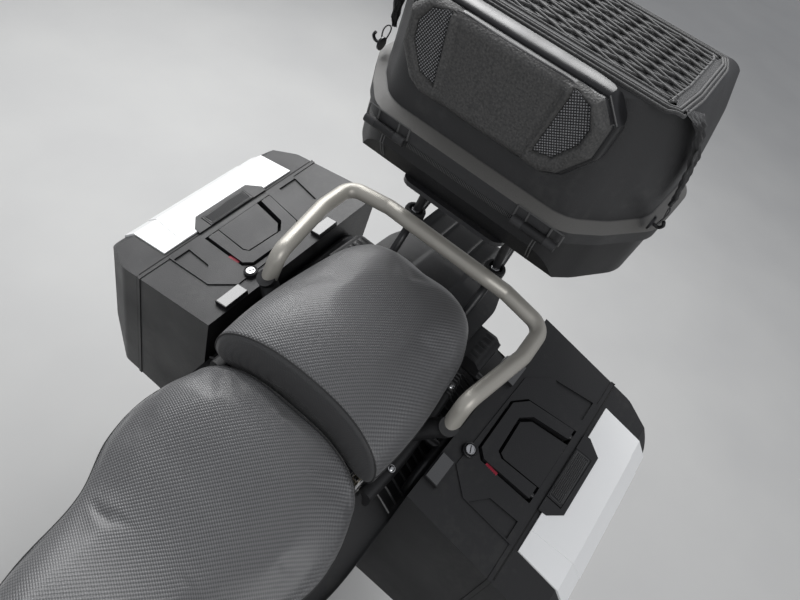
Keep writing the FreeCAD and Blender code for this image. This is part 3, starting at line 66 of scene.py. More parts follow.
FRONT_AXLE = drawn((1530, 0, 329))
BACK_AXLE = drawn((0, 0, 336))
RAKE = math.radians(27)
STEER_UP = np.array([-math.sin(RAKE), 0, math.cos(RAKE)])
STEER_AHEAD = np.array([math.cos(RAKE), 0, math.sin(RAKE)])
STEER_FOOT = FRONT_AXLE - STEER_AHEAD * 0.045


def steered(up, ahead=0.0, side=0.0):
    """A place along the steering axis, ahead of it and to its side, in millimetres."""
    return STEER_FOOT + STEER_UP * up / 1000 + STEER_AHEAD * ahead / 1000 + np.array([0, side / 1000, 0])


print("front axle", FRONT_AXLE.round(3), "rear axle", BACK_AXLE.round(3))

# %% [markdown]
# ## Camera and light
# The photograph looks down over the rider's seat towards the top case, with the camera rolled a little.
# A camera can be turned by angles, but three directions measured from the picture are exact, so the
# camera's matrix is built from them. The lens makes a metre, seen from a metre away, 618 pixels wide in a
# picture of 800.

# %% Camera
SENSOR, PHOTO_WIDTH, METRE_IN_PIXELS = 36.0, 800, 618
CAMERA_PLACE = (-0.0161, 0.2274, 1.7409)
camera_data = bpy.data.cameras.new("photo_camera")
camera_data.sensor_width = SENSOR
camera_data.lens = SENSOR * METRE_IN_PIXELS / PHOTO_WIDTH
camera_data.clip_start = 0.05
camera = bpy.data.objects.new("photo_camera", camera_data)
right = np.array([-0.5652, 0.7729, 0.2884])
ahead = np.array([-0.6606, -0.2146, -0.7194])
turn = Matrix(np.column_stack([right, np.cross(right, ahead), -ahead]).tolist()).to_4x4()
camera.matrix_world = Matrix.Translation(CAMERA_PLACE) @ turn
bpy.context.scene.collection.objects.link(camera)
bpy.context.scene.camera = camera
print("lens", round(camera_data.lens, 2), "mm")

# %% [markdown]
# A showroom has wide windows and rows of soft lamps. The gloss on the right case and on the seat comes from
# behind on the right, so the main lamp hangs there. One at the front left fills the shade, a small one
# over the tail picks out the edges, and a pale sky does the rest.

# %% Lamps, sky and floor
def soft_lamp(name, place, aim, size, watts):
    """A square area lamp of a given size, turned to face a place."""
    data = bpy.data.lights.new(name, "AREA")
    data.shape = "SQUARE"
    data.size = size
    data.energy = watts
    lamp = bpy.data.objects.new(name, data)
    lamp.location = place
    lamp.rotation_euler = (Vector(aim) - Vector(place)).to_track_quat("-Z", "Y").to_euler()
    bpy.context.scene.collection.objects.link(lamp)


soft_lamp("lamp_behind_right", (-2.1, -2.2, 2.9), (-0.6, 0, 0.9), 2.6, 88)
soft_lamp("lamp_front_left", (1.6, 2.6, 3.0), (0, 0, 0.7), 2.2, 42)
soft_lamp("lamp_over_tail", (-2.4, -0.75, 3.1), (-0.5, 0, 1.2), 1.4, 42)
sky = bpy.data.worlds.new("pale_sky")
sky.use_nodes = True
background = sky.node_tree.nodes["Background"].inputs
background["Color"].default_value = (0.93, 0.95, 1.0, 1)
background["Strength"].default_value = 0.42
bpy.context.scene.world = sky
bpy.context.scene.view_settings.view_transform = "Standard"


def flat_floor(name, half, level):
    """A level square of four corners."""
    mesh = bpy.data.meshes.new(name)
    corners = [(-half, -half, level), (half, -half, level), (half, half, level), (-half, half, level)]
    mesh.from_pydata(corners, [], [(0, 1, 2, 3)])
    floor = bpy.data.objects.new(name, mesh)
    bpy.context.scene.collection.objects.link(floor)
    return floor


floor = flat_floor("floor", 30, 0.0)
print("lamps, sky and floor are in place")

# %% [markdown]
# ## Finishes
# A real finish is never one flat value. Each material here starts from a plain shader whose constants
# sit on its own sockets. Then noise in the object's own coordinates varies its colour and roughness, and
# a bump gives its grain at the true scale in metres. Image textures could do this too, but noise needs
# no file and has no seams.

# %% A shader and its nodes
def socket_of(material, name):
    """An input of a material's shader."""
    return material.node_tree.nodes["Principled BSDF"].inputs[name]


def finish(name, colour, rough, metal=0.0, **sockets):
    """A shader with its constants set on its own sockets."""
    material = bpy.data.materials.new(name)
    material.use_nodes = True
    constants = {"Base Color": (*colour, 1), "Roughness": rough, "Metallic": metal, **sockets}
    for socket, value in constants.items():
        socket_of(material, socket.replace("_", " ")).default_value = value
    material.diffuse_color = (*colour, 1)
    return material


def node(material, kind, **settings):
    """A new node with its settings."""
    made = material.node_tree.nodes.new(kind)
    for key, value in settings.items():
        setattr(made, key, value)
    return made


def join(material, source, target):
    """A link from one socket to another."""
    material.node_tree.links.new(source, target)


def spot(material, kind="Object"):
    """The place that patterns are measured from."""
    return node(material, "ShaderNodeTexCoord").outputs[kind]


print("shaders can be made and linked")

# %% [markdown]
# Grain and wear on a real surface have a size, so a pattern here is asked for in metres. The object's own
# coordinates measure it, because they need no unwrapping and stay with a part that moves. A picture of the
# grain would have to be stretched to fit.

# %% Patterns with a true size
def noise(material, size, detail=3.0, stretch=(1, 1, 1)):
    """Noise whose blotches have a size in metres; a stretch draws them out along an axis."""
    mapping = node(material, "ShaderNodeMapping")
    mapping.inputs["Scale"].default_value = stretch
    texture = node(material, "ShaderNodeTexNoise")
    texture.inputs["Scale"].default_value = 1 / size
    texture.inputs["Detail"].default_value = detail
    join(material, spot(material), mapping.inputs["Vector"])
    join(material, mapping.outputs["Vector"], texture.inputs["Vector"])
    return texture.outputs["Fac"]


def spread(material, source, low, high, from_low=0.3, from_high=0.7):
    """A value stretched from one range to another, and kept in it."""
    ramp = node(material, "ShaderNodeMapRange")
    ramp.inputs["From Min"].default_value = from_low
    ramp.inputs["From Max"].default_value = from_high
    ramp.inputs["To Min"].default_value = low
    ramp.inputs["To Max"].default_value = high
    join(material, source, ramp.inputs["Value"])
    return ramp.outputs["Result"]


def sum_of(material, first, second, kind="ADD"):
    """Two values joined by one operation."""
    made = node(material, "ShaderNodeMath", operation=kind)
    for socket, value in zip(made.inputs, (first, second)):
        if isinstance(value, (int, float)):
            socket.default_value = value
        else:
            join(material, value, socket)
    return made.outputs["Value"]


print("patterns are measured in metres")

# %% [markdown]
# Colour, bump and gloss are laid over one another, as paint, texture and wear are. Each helper takes what is
# on the socket already and adds to it, so the order of the lines is the order of the layers.

# %% Layers of colour, bump and gloss
def tint(material, mask, colour):
    """Carry the base colour over to another where the mask is 1."""
    target = socket_of(material, "Base Color")
    mix = node(material, "ShaderNodeMix", data_type="RGBA")
    factor, under, over = mix.inputs[0], mix.inputs[6], mix.inputs[7]
    over.default_value = (*colour, 1)
    if target.is_linked:
        join(material, target.links[0].from_socket, under)
    else:
        under.default_value = target.default_value
    join(material, mask, factor)
    join(material, mix.outputs[2], target)


def raise_by(material, height, depth):
    """Bump from a height pattern, over what is there already; depth is in metres."""
    target = socket_of(material, "Normal")
    bump = node(material, "ShaderNodeBump")
    bump.inputs["Strength"].default_value = 1.0
    bump.inputs["Distance"].default_value = depth
    if target.is_linked:
        join(material, target.links[0].from_socket, bump.inputs["Normal"])
    join(material, height, bump.inputs["Height"])
    join(material, bump.outputs["Normal"], target)


def roughness(material, source):
    """Roughness from a pattern."""
    join(material, source, socket_of(material, "Roughness"))


def pebble(material, size, depth):
    """The small round grain of moulded plastic or vinyl: the distance to scattered points."""
    cells = node(material, "ShaderNodeTexVoronoi", feature="SMOOTH_F1")
    cells.inputs["Scale"].default_value = 1 / size
    join(material, spot(material), cells.inputs["Vector"])
    raise_by(material, cells.outputs["Distance"], depth)


print("layers can be added")

# %% [markdown]
# Dust, rub marks and clouds of colour are never even. Most parts then need the same few layers in the same
# order, so two recipes hold them: a grained one for moulded parts and a rippled one for smooth ones.

# %% Wear, clouds and two recipes
WORN_LOW, WORN_HIGH = 0.286, 0.407


def worn(material, colour, patch):
    """Dust or rubbed colour in soft patches broken up by a finer noise."""
    patches = sum_of(material, noise(material, patch, 5), noise(material, patch / 9, 2), "MULTIPLY")
    tint(material, spread(material, patches, 0, 1, WORN_LOW, WORN_HIGH), colour)


def uneven(material, size, low, high):
    """Roughness that wanders between two values in patches of a size."""
    roughness(material, spread(material, noise(material, size), low, high))


def clouded(material, colour, size, share=1, detail=3.0):
    """Another colour in soft clouds, by at most a share."""
    tint(material, spread(material, noise(material, size, detail), 0, share), colour)


def grained(name, colour, rough, size, depth, gloss=None, wear=None, **sockets):
    """A moulded finish: a pebble grain, perhaps with uneven gloss and with wear."""
    material = finish(name, colour, rough, **sockets)
    pebble(material, size, depth)
    if gloss:
        uneven(material, *gloss)
    if wear:
        worn(material, *wear)
    return material


def rippled(name, colour, rough, size, detail, depth, metal=0.0, **sockets):
    """A finish whose surface is a little uneven."""
    material = finish(name, colour, rough, metal, **sockets)
    raise_by(material, noise(material, size, detail), depth)
    return material


print("finish helpers are ready")

# %% [markdown]
# ## The finishes of this machine
# Black moulded plastic, painted steel, cast aluminium and brushed steel differ by grain, gloss and wear.
# One recipe with many switches could make them all. A grained and a rippled recipe are enough for most, and
# a few lines add what is special, so each stays easy to change.

# %% Plastic and paint
case_plastic = grained("case_plastic", (0.015, 0.015, 0.016), 0.40, 0.0011, 0.00022, gloss=(0.12, 0.36, 0.52),
                       wear=((0.021, 0.021, 0.021), 0.11), Specular_IOR_Level=0.45)
top_plastic = grained("top_case_plastic", (0.030, 0.030, 0.031), 0.5, 0.0014, 0.0003, gloss=(0.16, 0.44, 0.6),
                      wear=((0.040, 0.040, 0.040), 0.13))
black_plastic = grained("black_plastic", (0.016, 0.016, 0.017), 0.5, 0.0009, 0.00018,
                        wear=((0.024, 0.024, 0.023), 0.08))
# The top case's base gets a darker copy of the lid's plastic: painted shade, because the base lies in shadow under
# the ledge.
shaded_base_plastic = grained("shaded_base_plastic", (0.011, 0.011, 0.0115), 0.5, 0.0014, 0.00025, gloss=(0.14, 0.44, 0.58))
smooth_plastic = finish("smooth_black_plastic", (0.012, 0.012, 0.013), 0.3)
uneven(smooth_plastic, 0.05, 0.24, 0.4)

# The lid's ledge band is tinted lighter than its plastic: a painted highlight, standing in for the sky's reflection
# along the ledge.
LEDGE_LOW, LEDGE_HIGH = (1.2634, 1.2642), (1.2738, 1.2752)
height = node(top_plastic, "ShaderNodeSeparateXYZ")
join(top_plastic, spot(top_plastic), height.inputs["Vector"])
ledge_highlight = sum_of(top_plastic, spread(top_plastic, height.outputs["Z"], 0, 1, *LEDGE_LOW),
               spread(top_plastic, height.outputs["Z"], 1, 0, *LEDGE_HIGH), "MULTIPLY")
tint(top_plastic, ledge_highlight, (0.135, 0.132, 0.125))

white_panel = rippled("white_panel", (0.90, 0.905, 0.90), 0.28, 0.004, 1, 0.00006, Coat_Weight=0.4,
                      Coat_Roughness=0.12)
clouded(white_panel, (0.84, 0.85, 0.855), 0.2, 0.35)
body_paint = rippled("body_paint", (0.79, 0.80, 0.80), 0.22, 0.003, 1, 0.00005, Coat_Weight=0.6, Coat_Roughness=0.08)
clouded(body_paint, (0.73, 0.74, 0.75), 0.3, 0.3)
frame_paint = rippled("frame_paint", (0.020, 0.020, 0.022), 0.36, 0.0025, 2, 0.00012, Coat_Weight=0.25,
                      Coat_Roughness=0.2)
worn(frame_paint, (0.030, 0.029, 0.028), 0.06)
rail_metal = rippled("rail_metal", (0.46, 0.44, 0.395), 0.42, 0.0012, 2, 0.00008, 0.35)
uneven(rail_metal, 0.05, 0.3, 0.46)
clouded(rail_metal, (0.52, 0.50, 0.45), 0.09, 0.5, 4)
print("plastic and paint are ready")

# %% [markdown]
# Metals show how they were made. A ground disc has fine rings, a drawn tube has streaks along it, and a
# casting is covered in small pits. A wave of the distance from the axle would give even rings. Noise drawn
# out along one axis gives streaks that are less even, which is closer to worn metal, so it is used for all.

# %% Metals
def brushed(name, colour, rough, stretch, size, depth=0.00005):
    """Metal with fine streaks along the axes where stretch is small."""
    material = finish(name, colour, rough, 1.0)
    streaks = noise(material, size, 3, stretch)
    raise_by(material, streaks, depth)
    roughness(material, spread(material, streaks, rough - 0.07, rough + 0.1))
    clouded(material, [c * 0.72 for c in colour], 0.07, 0.6, 4)
    return material


disc_steel = brushed("disc_steel", (0.50, 0.50, 0.51), 0.3, (1, 0.1, 1), 0.0012)
chain_steel = brushed("chain_steel", (0.25, 0.22, 0.17), 0.4, (1, 1, 1), 0.003)
axle_steel = brushed("axle_steel", (0.48, 0.48, 0.49), 0.28, (1, 0.2, 1), 0.001)
exhaust_steel = brushed("exhaust_steel", (0.42, 0.40, 0.38), 0.34, (0.15, 1, 1), 0.0016)
fork_metal = brushed("fork_metal", (0.17, 0.165, 0.16), 0.34, (1, 1, 0.1), 0.0016)
bright_metal = brushed("bright_metal", (0.62, 0.62, 0.63), 0.2, (1, 1, 1), 0.004, 0.00003)


def cast(name, colour, rough, metal):
    """Sand-cast or painted metal: fine pits, and grime gathered in soft patches."""
    return grained(name, colour, rough, 0.0016, 0.0003, gloss=(0.03, rough - 0.08, rough + 0.14),
                   wear=([c * 0.7 for c in colour], 0.05), metal=metal)


engine_metal = cast("engine_metal", (0.115, 0.115, 0.12), 0.46, 0.85)
cast_wheel = cast("cast_wheel", (0.030, 0.030, 0.032), 0.38, 0.4)
stand_steel = cast("stand_steel", (0.028, 0.028, 0.03), 0.42, 0.3)
radiator_metal = cast("radiator_metal", (0.05, 0.05, 0.052), 0.5, 0.6)

rubber = grained("tyre_rubber", (0.018, 0.018, 0.018), 0.78, 0.0022, 0.00025, wear=((0.032, 0.031, 0.029), 0.07))
print("metals and rubber are ready")

# %% [markdown]
# The seats are covered in embossed vinyl: small slanted lozenges in rows, about 5 mm apart. The pattern has
# to follow the cover over its crown, so it reads a map in metres that each seat carries. Two waves across
# each other give the rows. Where their product is low there is a pit, which is tinted darker as painted shade.

# %% Seat vinyl
def waves(material, across, along):
    """Height from 0 to 1 of lozenges: the product of one wave along the cover and one leaning across it."""
    parts = node(material, "ShaderNodeSeparateXYZ")
    join(material, spot(material, "UV"), parts.inputs["Vector"])
    lean = sum_of(material, parts.outputs["X"], sum_of(material, parts.outputs["Y"], 0.55, "MULTIPLY"))
    first = sum_of(material, sum_of(material, lean, 2 * math.pi / along, "MULTIPLY"), 0, "SINE")
    second = sum_of(material, sum_of(material, parts.outputs["Y"], 2 * math.pi / across, "MULTIPLY"), 0, "SINE")
    return spread(material, sum_of(material, first, second, "MULTIPLY"), 0, 1, -0.75, 0.75)


def vinyl(name, colour, deep, rough):
    """Embossed seat cover."""
    material = finish(name, colour, rough, Sheen_Weight=0.3, Sheen_Roughness=0.4, Specular_IOR_Level=0.8,
                      Coat_Weight=0.35, Coat_Roughness=0.3)
    lozenges = waves(material, 0.0046, 0.0068)
    # Painted shade: the pits between the lozenges are tinted towards the darker colour.
    tint(material, spread(material, lozenges, 0.85, 0, 0.05, 0.75), deep)
    raise_by(material, lozenges, 0.0006)
    raise_by(material, noise(material, 0.0008, 2), 0.0001)
    uneven(material, 0.08, rough - 0.06, rough + 0.08)
    return material


seat_vinyl = vinyl("seat_vinyl", (0.120, 0.120, 0.123), (0.030, 0.030, 0.031), 0.38)
side_vinyl = grained("seat_side_vinyl", (0.038, 0.038, 0.039), 0.42, 0.0013, 0.0002, Sheen_Weight=0.1)
clouded(side_vinyl, (0.030, 0.030, 0.031), 0.06, 0.6, 4)
thread = rippled("seat_thread", (0.16, 0.16, 0.16), 0.7, 0.0004, 1, 0.0001)
piping = grained("seat_piping", (0.02, 0.02, 0.02), 0.5, 0.001, 0.0001)
pad_grain = grained("pad_grain", (0.040, 0.040, 0.040), 0.62, 0.0026, 0.0010)
clouded(pad_grain, (0.085, 0.083, 0.08), 0.003)
print("vinyl is ready")

# %% [markdown]
# ## Surfaces from numbers
# Every new piece is a grid of points: one direction runs along the piece and the other goes round it.
# The grid closes by repeating its first column, and an end closes by shrinking a row to one point. Merging
# equal points afterwards makes the mesh watertight. Modelling by hand could not be rerun or checked.

# %% Curves through measured places
def flowing(at, places, values):
    """Cubic curves through measured values, each leaving along the line between its neighbours."""
    at, places, values = np.asarray(at, float), np.asarray(places, float), np.asarray(values, float)
    slopes = np.gradient(values, places, axis=0)
    index = np.clip(np.searchsorted(places, at, side="right") - 1, 0, len(places) - 2)
    step = places[index + 1] - places[index]
    t = (at - places[index]) / step
    if values.ndim > 1:
        step, t = step[:, None], t[:, None]
    start, end = values[index], values[index + 1]
    bend = slopes[index] * step, slopes[index + 1] * step
    return ((1 + 2 * t) * (1 - t) ** 2 * start + t * (1 - t) ** 2 * bend[0]
            + t * t * (3 - 2 * t) * end + t * t * (t - 1) * bend[1])


def reach_along(line):
    """Length from the start of a line to each of its points."""
    return np.concatenate([[0], np.cumsum(np.linalg.norm(np.diff(line, axis=0), axis=1))])


def path_through(points, count):
    """Evenly numbered places on a smooth curve through a few points."""
    points = np.asarray(points, float)
    reach = reach_along(points)
    return flowing(np.linspace(0, reach[-1], count), reach, points)


def unit(vectors):
    """Vectors of length one."""
    vectors = np.asarray(vectors, float)
    return vectors / np.linalg.norm(vectors, axis=-1, keepdims=True)


print("curves pass through their measured places")

# %% [markdown]
# A grid of points turns into faces when every four neighbours are joined. Each piece also needs its finish
# and the body that it moves with. One function does both, so that no piece can miss a step.

# %% From a grid to a piece
import bmesh


def clean(mesh, weld=1e-6):
    """Merge equal points, drop faces with no area, and turn all faces outward."""
    bm = bmesh.new()
    bm.from_mesh(mesh)
    bmesh.ops.remove_doubles(bm, verts=bm.verts, dist=weld)
    bmesh.ops.dissolve_degenerate(bm, edges=bm.edges, dist=weld)
    bmesh.ops.recalc_face_normals(bm, faces=bm.faces)
    bm.to_mesh(mesh)
    bm.free()


def made(name, points, faces, materials, body, slot=None, maps=None, pick=None, crease=40, tidy=True):
    """An object from points and faces, with its finish and its body. The slot is not used."""
    mesh = bpy.data.meshes.new(name)
    mesh.from_pydata(np.asarray(points, float).reshape(-1, 3).tolist(), [], np.asarray(faces).tolist())
    for material in materials if isinstance(materials, (list, tuple)) else [materials]:
        mesh.materials.append(material)
    if maps is not None:
        layer = mesh.uv_layers.new(name="cover")
        layer.data.foreach_set("uv", np.asarray(maps, np.float32).reshape(-1, 2)[np.asarray(faces).ravel()].ravel())
    if pick is not None:
        mesh.polygons.foreach_set("material_index", np.asarray(pick, np.int32).ravel())
    if tidy:
        clean(mesh)
    mesh.polygons.foreach_set("use_smooth", np.ones(len(mesh.polygons), bool))
    mesh.set_sharp_from_angle(angle=math.radians(crease))
    thing = bpy.data.objects.new(name, mesh)
    bpy.context.scene.collection.objects.link(thing)
    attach(thing, body)
    return thing


def net_of(rows, columns):
    """Four corners of every cell of a grid whose points are numbered row by row."""
    i, j = np.meshgrid(np.arange(rows - 1), np.arange(columns - 1), indexing="ij")
    corner = i * columns + j
    return np.stack([corner, corner + 1, corner + columns + 1, corner + columns], -1).reshape(-1, 4)


def skin(name, grid, materials, body, **more):
    """A surface over a grid of points."""
    return made(name, grid, net_of(*grid.shape[:2]), materials, body, **more)


print("grids can be made into pieces")

# %% [markdown]
# Bolts and lenses are turned on a lathe, hoses and bars are bent tubes, and covers are plates with a rim. Each
# kind is one function here. Blender's own curves and its screw modifier make such shapes too, but a grid of
# numbers is closed, has even cells, and joins others in one piece.

# %% Tubes, turned shapes and plates
def ring_frame(line):
    """Two directions square to each step of a line, turning with it."""
    along = unit(np.gradient(line, axis=0))
    reference = np.eye(3)[np.argmin(np.abs(along).max(0))]
    side = unit(np.cross(along, reference))
    return side, np.cross(along, side)


def tube_grid(line, radius, sides=12, capped=True):
    """Circles square to a line, in the line's own unit; with caps, both ends shrink to their centres."""
    line = np.asarray(line, float)
    radius = np.broadcast_to(np.asarray(radius, float), len(line))
    side, lift = ring_frame(line)
    if capped:
        line = np.concatenate([line[:1], line, line[-1:]])
        side, lift = (np.concatenate([d[:1], d, d[-1:]]) for d in (side, lift))
        radius = np.concatenate([[0], radius, [0]])
    angle = np.linspace(0, 2 * np.pi, sides + 1)
    ring = np.cos(angle)[None, :, None] * side[:, None] + np.sin(angle)[None, :, None] * lift[:, None]
    return line[:, None] + ring * radius[:, None, None]


def turned_grid(centre, axis, profile, sides=32):
    """A profile of (place along the axis, radius), in millimetres, carried round the axis."""
    profile = np.asarray(profile, float) / 1000
    centre, axis = np.asarray(centre, float), unit(axis)
    line = centre + profile[:, :1] * axis
    reference = np.eye(3)[np.argmin(np.abs(axis))]
    side = unit(np.cross(axis, reference))
    lift = np.cross(axis, side)
    angle = np.linspace(0, 2 * np.pi, sides + 1)
    ring = np.cos(angle)[:, None] * side + np.sin(angle)[:, None] * lift
    return line[:, None] + ring[None] * profile[:, 1][:, None, None]


def rod(radius, low, high):
    """Profile of a plain cylinder."""
    return [(low, 0), (low, radius), (high, radius), (high, 0)]


def field(first, second):
    """Two grids of values, each given by its start, end and count."""
    return np.meshgrid(np.linspace(*first), np.linspace(*second), indexing="ij")


def slab(top, low):
    """Grids of a plate: both its faces and the rim between them."""
    rim = [np.concatenate([g[0], g[1:, -1], g[-1, -2::-1], g[-2::-1, 0]]) for g in (low, top)]
    return [top, low, np.stack(rim)]


print("tubes, turned shapes and plates are ready")

# %% [markdown]
# A machine carries hundreds of equal screws, stitches and links. An object for each would be slow and hard to
# name. Equal shapes that serve one purpose are gathered in one mesh, and it keeps every copy's own place.

# %% Many shapes in one piece
def gathered(grids):
    """Points and faces of several grids in one mesh."""
    points, faces, used = [], [], 0
    for grid in grids:
        points.append(grid.reshape(-1, 3))
        faces.append(net_of(*grid.shape[:2]) + used)
        used += grid.shape[0] * grid.shape[1]
    return np.concatenate(points), np.concatenate(faces)


def group(name, grids, materials, body, **more):
    """Several grids as one piece."""
    return made(name, *gathered(grids), materials, body, **more)


def repeated(shape, faces, places, first, second):
    """Copies of a small shape at many places, each turned by two directions of its own."""
    first, second = unit(first), unit(second)
    third = np.cross(first, second)
    turns = np.stack([first, second, third], -2)
    points = np.einsum("pk,nkc->npc", np.asarray(shape, float), turns) + np.asarray(places, float)[:, None]
    numbers = np.asarray(faces)[None] + (np.arange(len(places)) * len(shape))[:, None, None]
    return points.reshape(-1, 3), numbers.reshape(-1, np.asarray(faces).shape[1])


print("surface helpers are ready")

# %% [markdown]
# ## Dress the CAD nodes
# The parts whose shape is right already stay, and only get a finish. A table of nodes and finishes is
# easier to read than fifty separate lines. Their faces stay as they are; only the finish changes.

# %% A finish for each node
def dress(material, *names):
    """Put a finish in every material slot of some CAD nodes."""
    for name in names:
        thing = nodes[name]
        if not thing.material_slots:
            thing.data.materials.append(material)
        for holder in thing.material_slots:
            holder.material = material


floor_paint = rippled("floor_paint", (0.50, 0.50, 0.49), 0.55, 0.004, 2, 0.0001)
clouded(floor_paint, (0.46, 0.46, 0.455), 0.5, detail=4)
floor.data.materials.append(floor_paint)

dress(rubber, "front_tyre", "rear_tyre")
dress(cast_wheel, "front_rim", "rear_rim")
dress(disc_steel, "front_discs", "rear_sprocket_and_disc")
dress(chain_steel, "chain")
dress(fork_metal, "fork_legs", "fork_yokes", "swingarm")
dress(axle_steel, "front_axle", "rear_axle")
dress(frame_paint, "handlebar", "frame", "subframe", "rear_shock", "foot_pegs", "luggage_frame")
dress(black_plastic, "levers_and_mirrors", "hand_guards", "front_mudguard", "instruments", "tail_shell",
      "plate_holder")
dress(engine_metal, "engine_case", "cylinder_head", "front_calipers", "rear_caliper")
dress(exhaust_steel, "exhaust", "skid_plate")
dress(radiator_metal, "radiator")
dress(body_paint, "fuel_tank", "side_fairings", "nose_cowl")
dress(rail_metal, "grab_rail")
dress(case_plastic, "left_case", "right_case", "left_case_lid", "right_case_lid")
dress(white_panel, "left_lid_panel", "right_lid_panel")
dress(top_plastic, "top_case_lid")
dress(shaded_base_plastic, "top_case_base")
dress(stand_steel, "centre_stand", "side_stand")
print("finishes are on", sum(1 for thing in nodes.values() if thing.material_slots), "nodes")

# %% [markdown]
# Clear parts let light through. The windscreen is a bent acrylic sheet with a faint smoke tint, the
# headlamp's cover is polycarbonate, and the tail lamp is moulded in red. Each keeps a trace of colour.

# %% Clear parts
screen_glass = finish("screen_glass", (0.78, 0.82, 0.83), 0.06, Transmission_Weight=0.92, IOR=1.49)
uneven(screen_glass, 0.15, 0.03, 0.09)
lamp_glass = finish("lamp_glass", (0.86, 0.89, 0.9), 0.05, Transmission_Weight=0.85, IOR=1.5)
uneven(lamp_glass, 0.05, 0.02, 0.07)
red_lens = rippled("red_lens", (0.42, 0.008, 0.008), 0.12, 0.004, 0, 0.0002, Coat_Weight=0.6)
dress(screen_glass, "windscreen")
dress(lamp_glass, "headlamp")
dress(red_lens, "tail_lamp")
print("clear parts are ready")

# %% [markdown]
# ## Two seats
# A motorcycle seat is foam cut to shape with a cover stretched over it, so its surface is one smooth,
# swelling form. Each seat starts as a row of cross-sections from the drawing: a width, a flat bottom, an
# edge and a crown. A closed B-spline through each section's corners rounds it as pulled vinyl does. A short
# cloth simulation under air pressure then swells the cover between its seams, as foam does.

# %% Sections of a seat
def rounded_loop(corners, count):
    """Closed uniform cubic B-spline over rows of corner points, evaluated at the same places in each row."""
    number = corners.shape[1]
    at = np.arange(count) / count * number
    base = np.floor(at).astype(int)
    t = at - base
    weights = np.stack([(1 - t) ** 3, 3 * t**3 - 6 * t**2 + 4, -3 * t**3 + 3 * t**2 + 3 * t + 1, t**3]) / 6
    index = (base[None] + np.arange(-1, 3)[:, None]) % number
    return np.einsum("kc,rkcd->rcd", weights, corners[:, index])


SEAT_CORNERS = 18
SEAT_EDGE = 4.7
SEAT_PAN = 2.7


def seat_corners(half, bottom, edge, crown):
    """Corners of each section from the middle of the bottom, up the left side, over the crown and down."""
    rise = crown - edge
    left = [(0 * half, bottom), (0.60 * half, bottom), (0.90 * half, bottom), (0.97 * half, bottom + 6),
            (1.03 * half, edge - 8), (1.03 * half, edge + 0.30 * rise), (0.93 * half, edge + 0.74 * rise),
            (0.60 * half, crown), (0.30 * half, crown + 0.03 * rise)]
    left = np.stack([np.stack(pair, -1) for pair in left], 1)
    top = np.stack([0 * half, crown + 0.04 * rise], -1)[:, None]
    return np.concatenate([left, top, left[:, :0:-1] * (-1, 1)], 1)


def capped_faces(rows, columns):
    """Cells of a grid that closes round, and a fan of triangles from each end ring to its pole."""
    i, j = np.meshgrid(np.arange(rows - 1), np.arange(columns), indexing="ij")
    k = (j + 1) % columns
    quads = np.stack([i * columns + j, i * columns + k, (i + 1) * columns + k, (i + 1) * columns + j], -1)
    first, last = rows * columns, rows * columns + 1
    j, k = j[0], k[0]
    near = np.stack([np.full(columns, first), k, j], -1)
    far = np.stack([np.full(columns, last), (rows - 1) * columns + j, (rows - 1) * columns + k], -1)
    return quads.reshape(-1, 4), near, far


print("sections can be rounded and capped")

# %% [markdown]
# The ends of a seat turn inward in a tight curve and close. Rings that shrink by a quarter circle do the same.
# They start and end on the seam between the seats, so the gap there has an even width.

# %% Rings of a seat
ROUND, SHUT = 9, 6


def seat_rings(stations, rear, front, rear_round, front_round, rows, columns):
    """Rings of a seat from its rear face to its front face. Near a face the section turns inward by a quarter
    circle, and beyond it closes towards the section's middle. Rear and front give a face's place from the side."""
    stations = np.asarray(stations, float)
    length = stations[-1, 0] - stations[0, 0]
    arc = np.linspace(0, np.pi / 2, ROUND)
    shut = np.linspace(0.15, 1, SHUT)[:-1]
    depth = np.concatenate([0 * shut, rear_round * (1 - np.cos(arc)),
                            np.linspace(rear_round, length - front_round, rows)[1:-1],
                            length - front_round * (1 - np.cos(arc[::-1])), length + 0 * shut])
    inset = np.concatenate([rear_round + 0 * shut, rear_round * (1 - np.sin(arc)), np.zeros(rows - 2),
                            front_round * (1 - np.sin(arc[::-1])), front_round + 0 * shut])
    scale = np.concatenate([shut, np.ones(2 * ROUND + rows - 2), shut[::-1]])
    sizes = flowing(stations[0, 0] + depth, stations[:, 0], stations[:, 1:])
    flat = rounded_loop(seat_corners(*sizes.T), columns)
    centre = flat.mean(1, keepdims=True)
    reach = np.linalg.norm(flat - centre, axis=2, keepdims=True)
    flat = centre + (flat - centre) * (1 - inset[:, None, None] / reach) * scale[:, None, None]
    share = depth[:, None] / length
    x = rear(flat[..., 0]) * (1 - share) + front(flat[..., 0]) * share
    return np.concatenate([x[..., None], flat], -1)


print("seat sections are ready")

# %% [markdown]
# The cloth simulation needs a closed mesh with even cells. Remeshing would lose the map that the embossed
# rows follow, and the grid is even already, so the grid itself is simulated. Points on a seam are pinned,
# because real stitching holds them down, and no point may move further than a cap.

# %% Swell a cover
def coordinates(mesh):
    """All of a mesh's coordinates in one row."""
    row = np.empty(len(mesh.vertices) * 3)
    mesh.vertices.foreach_get("co", row)
    return row


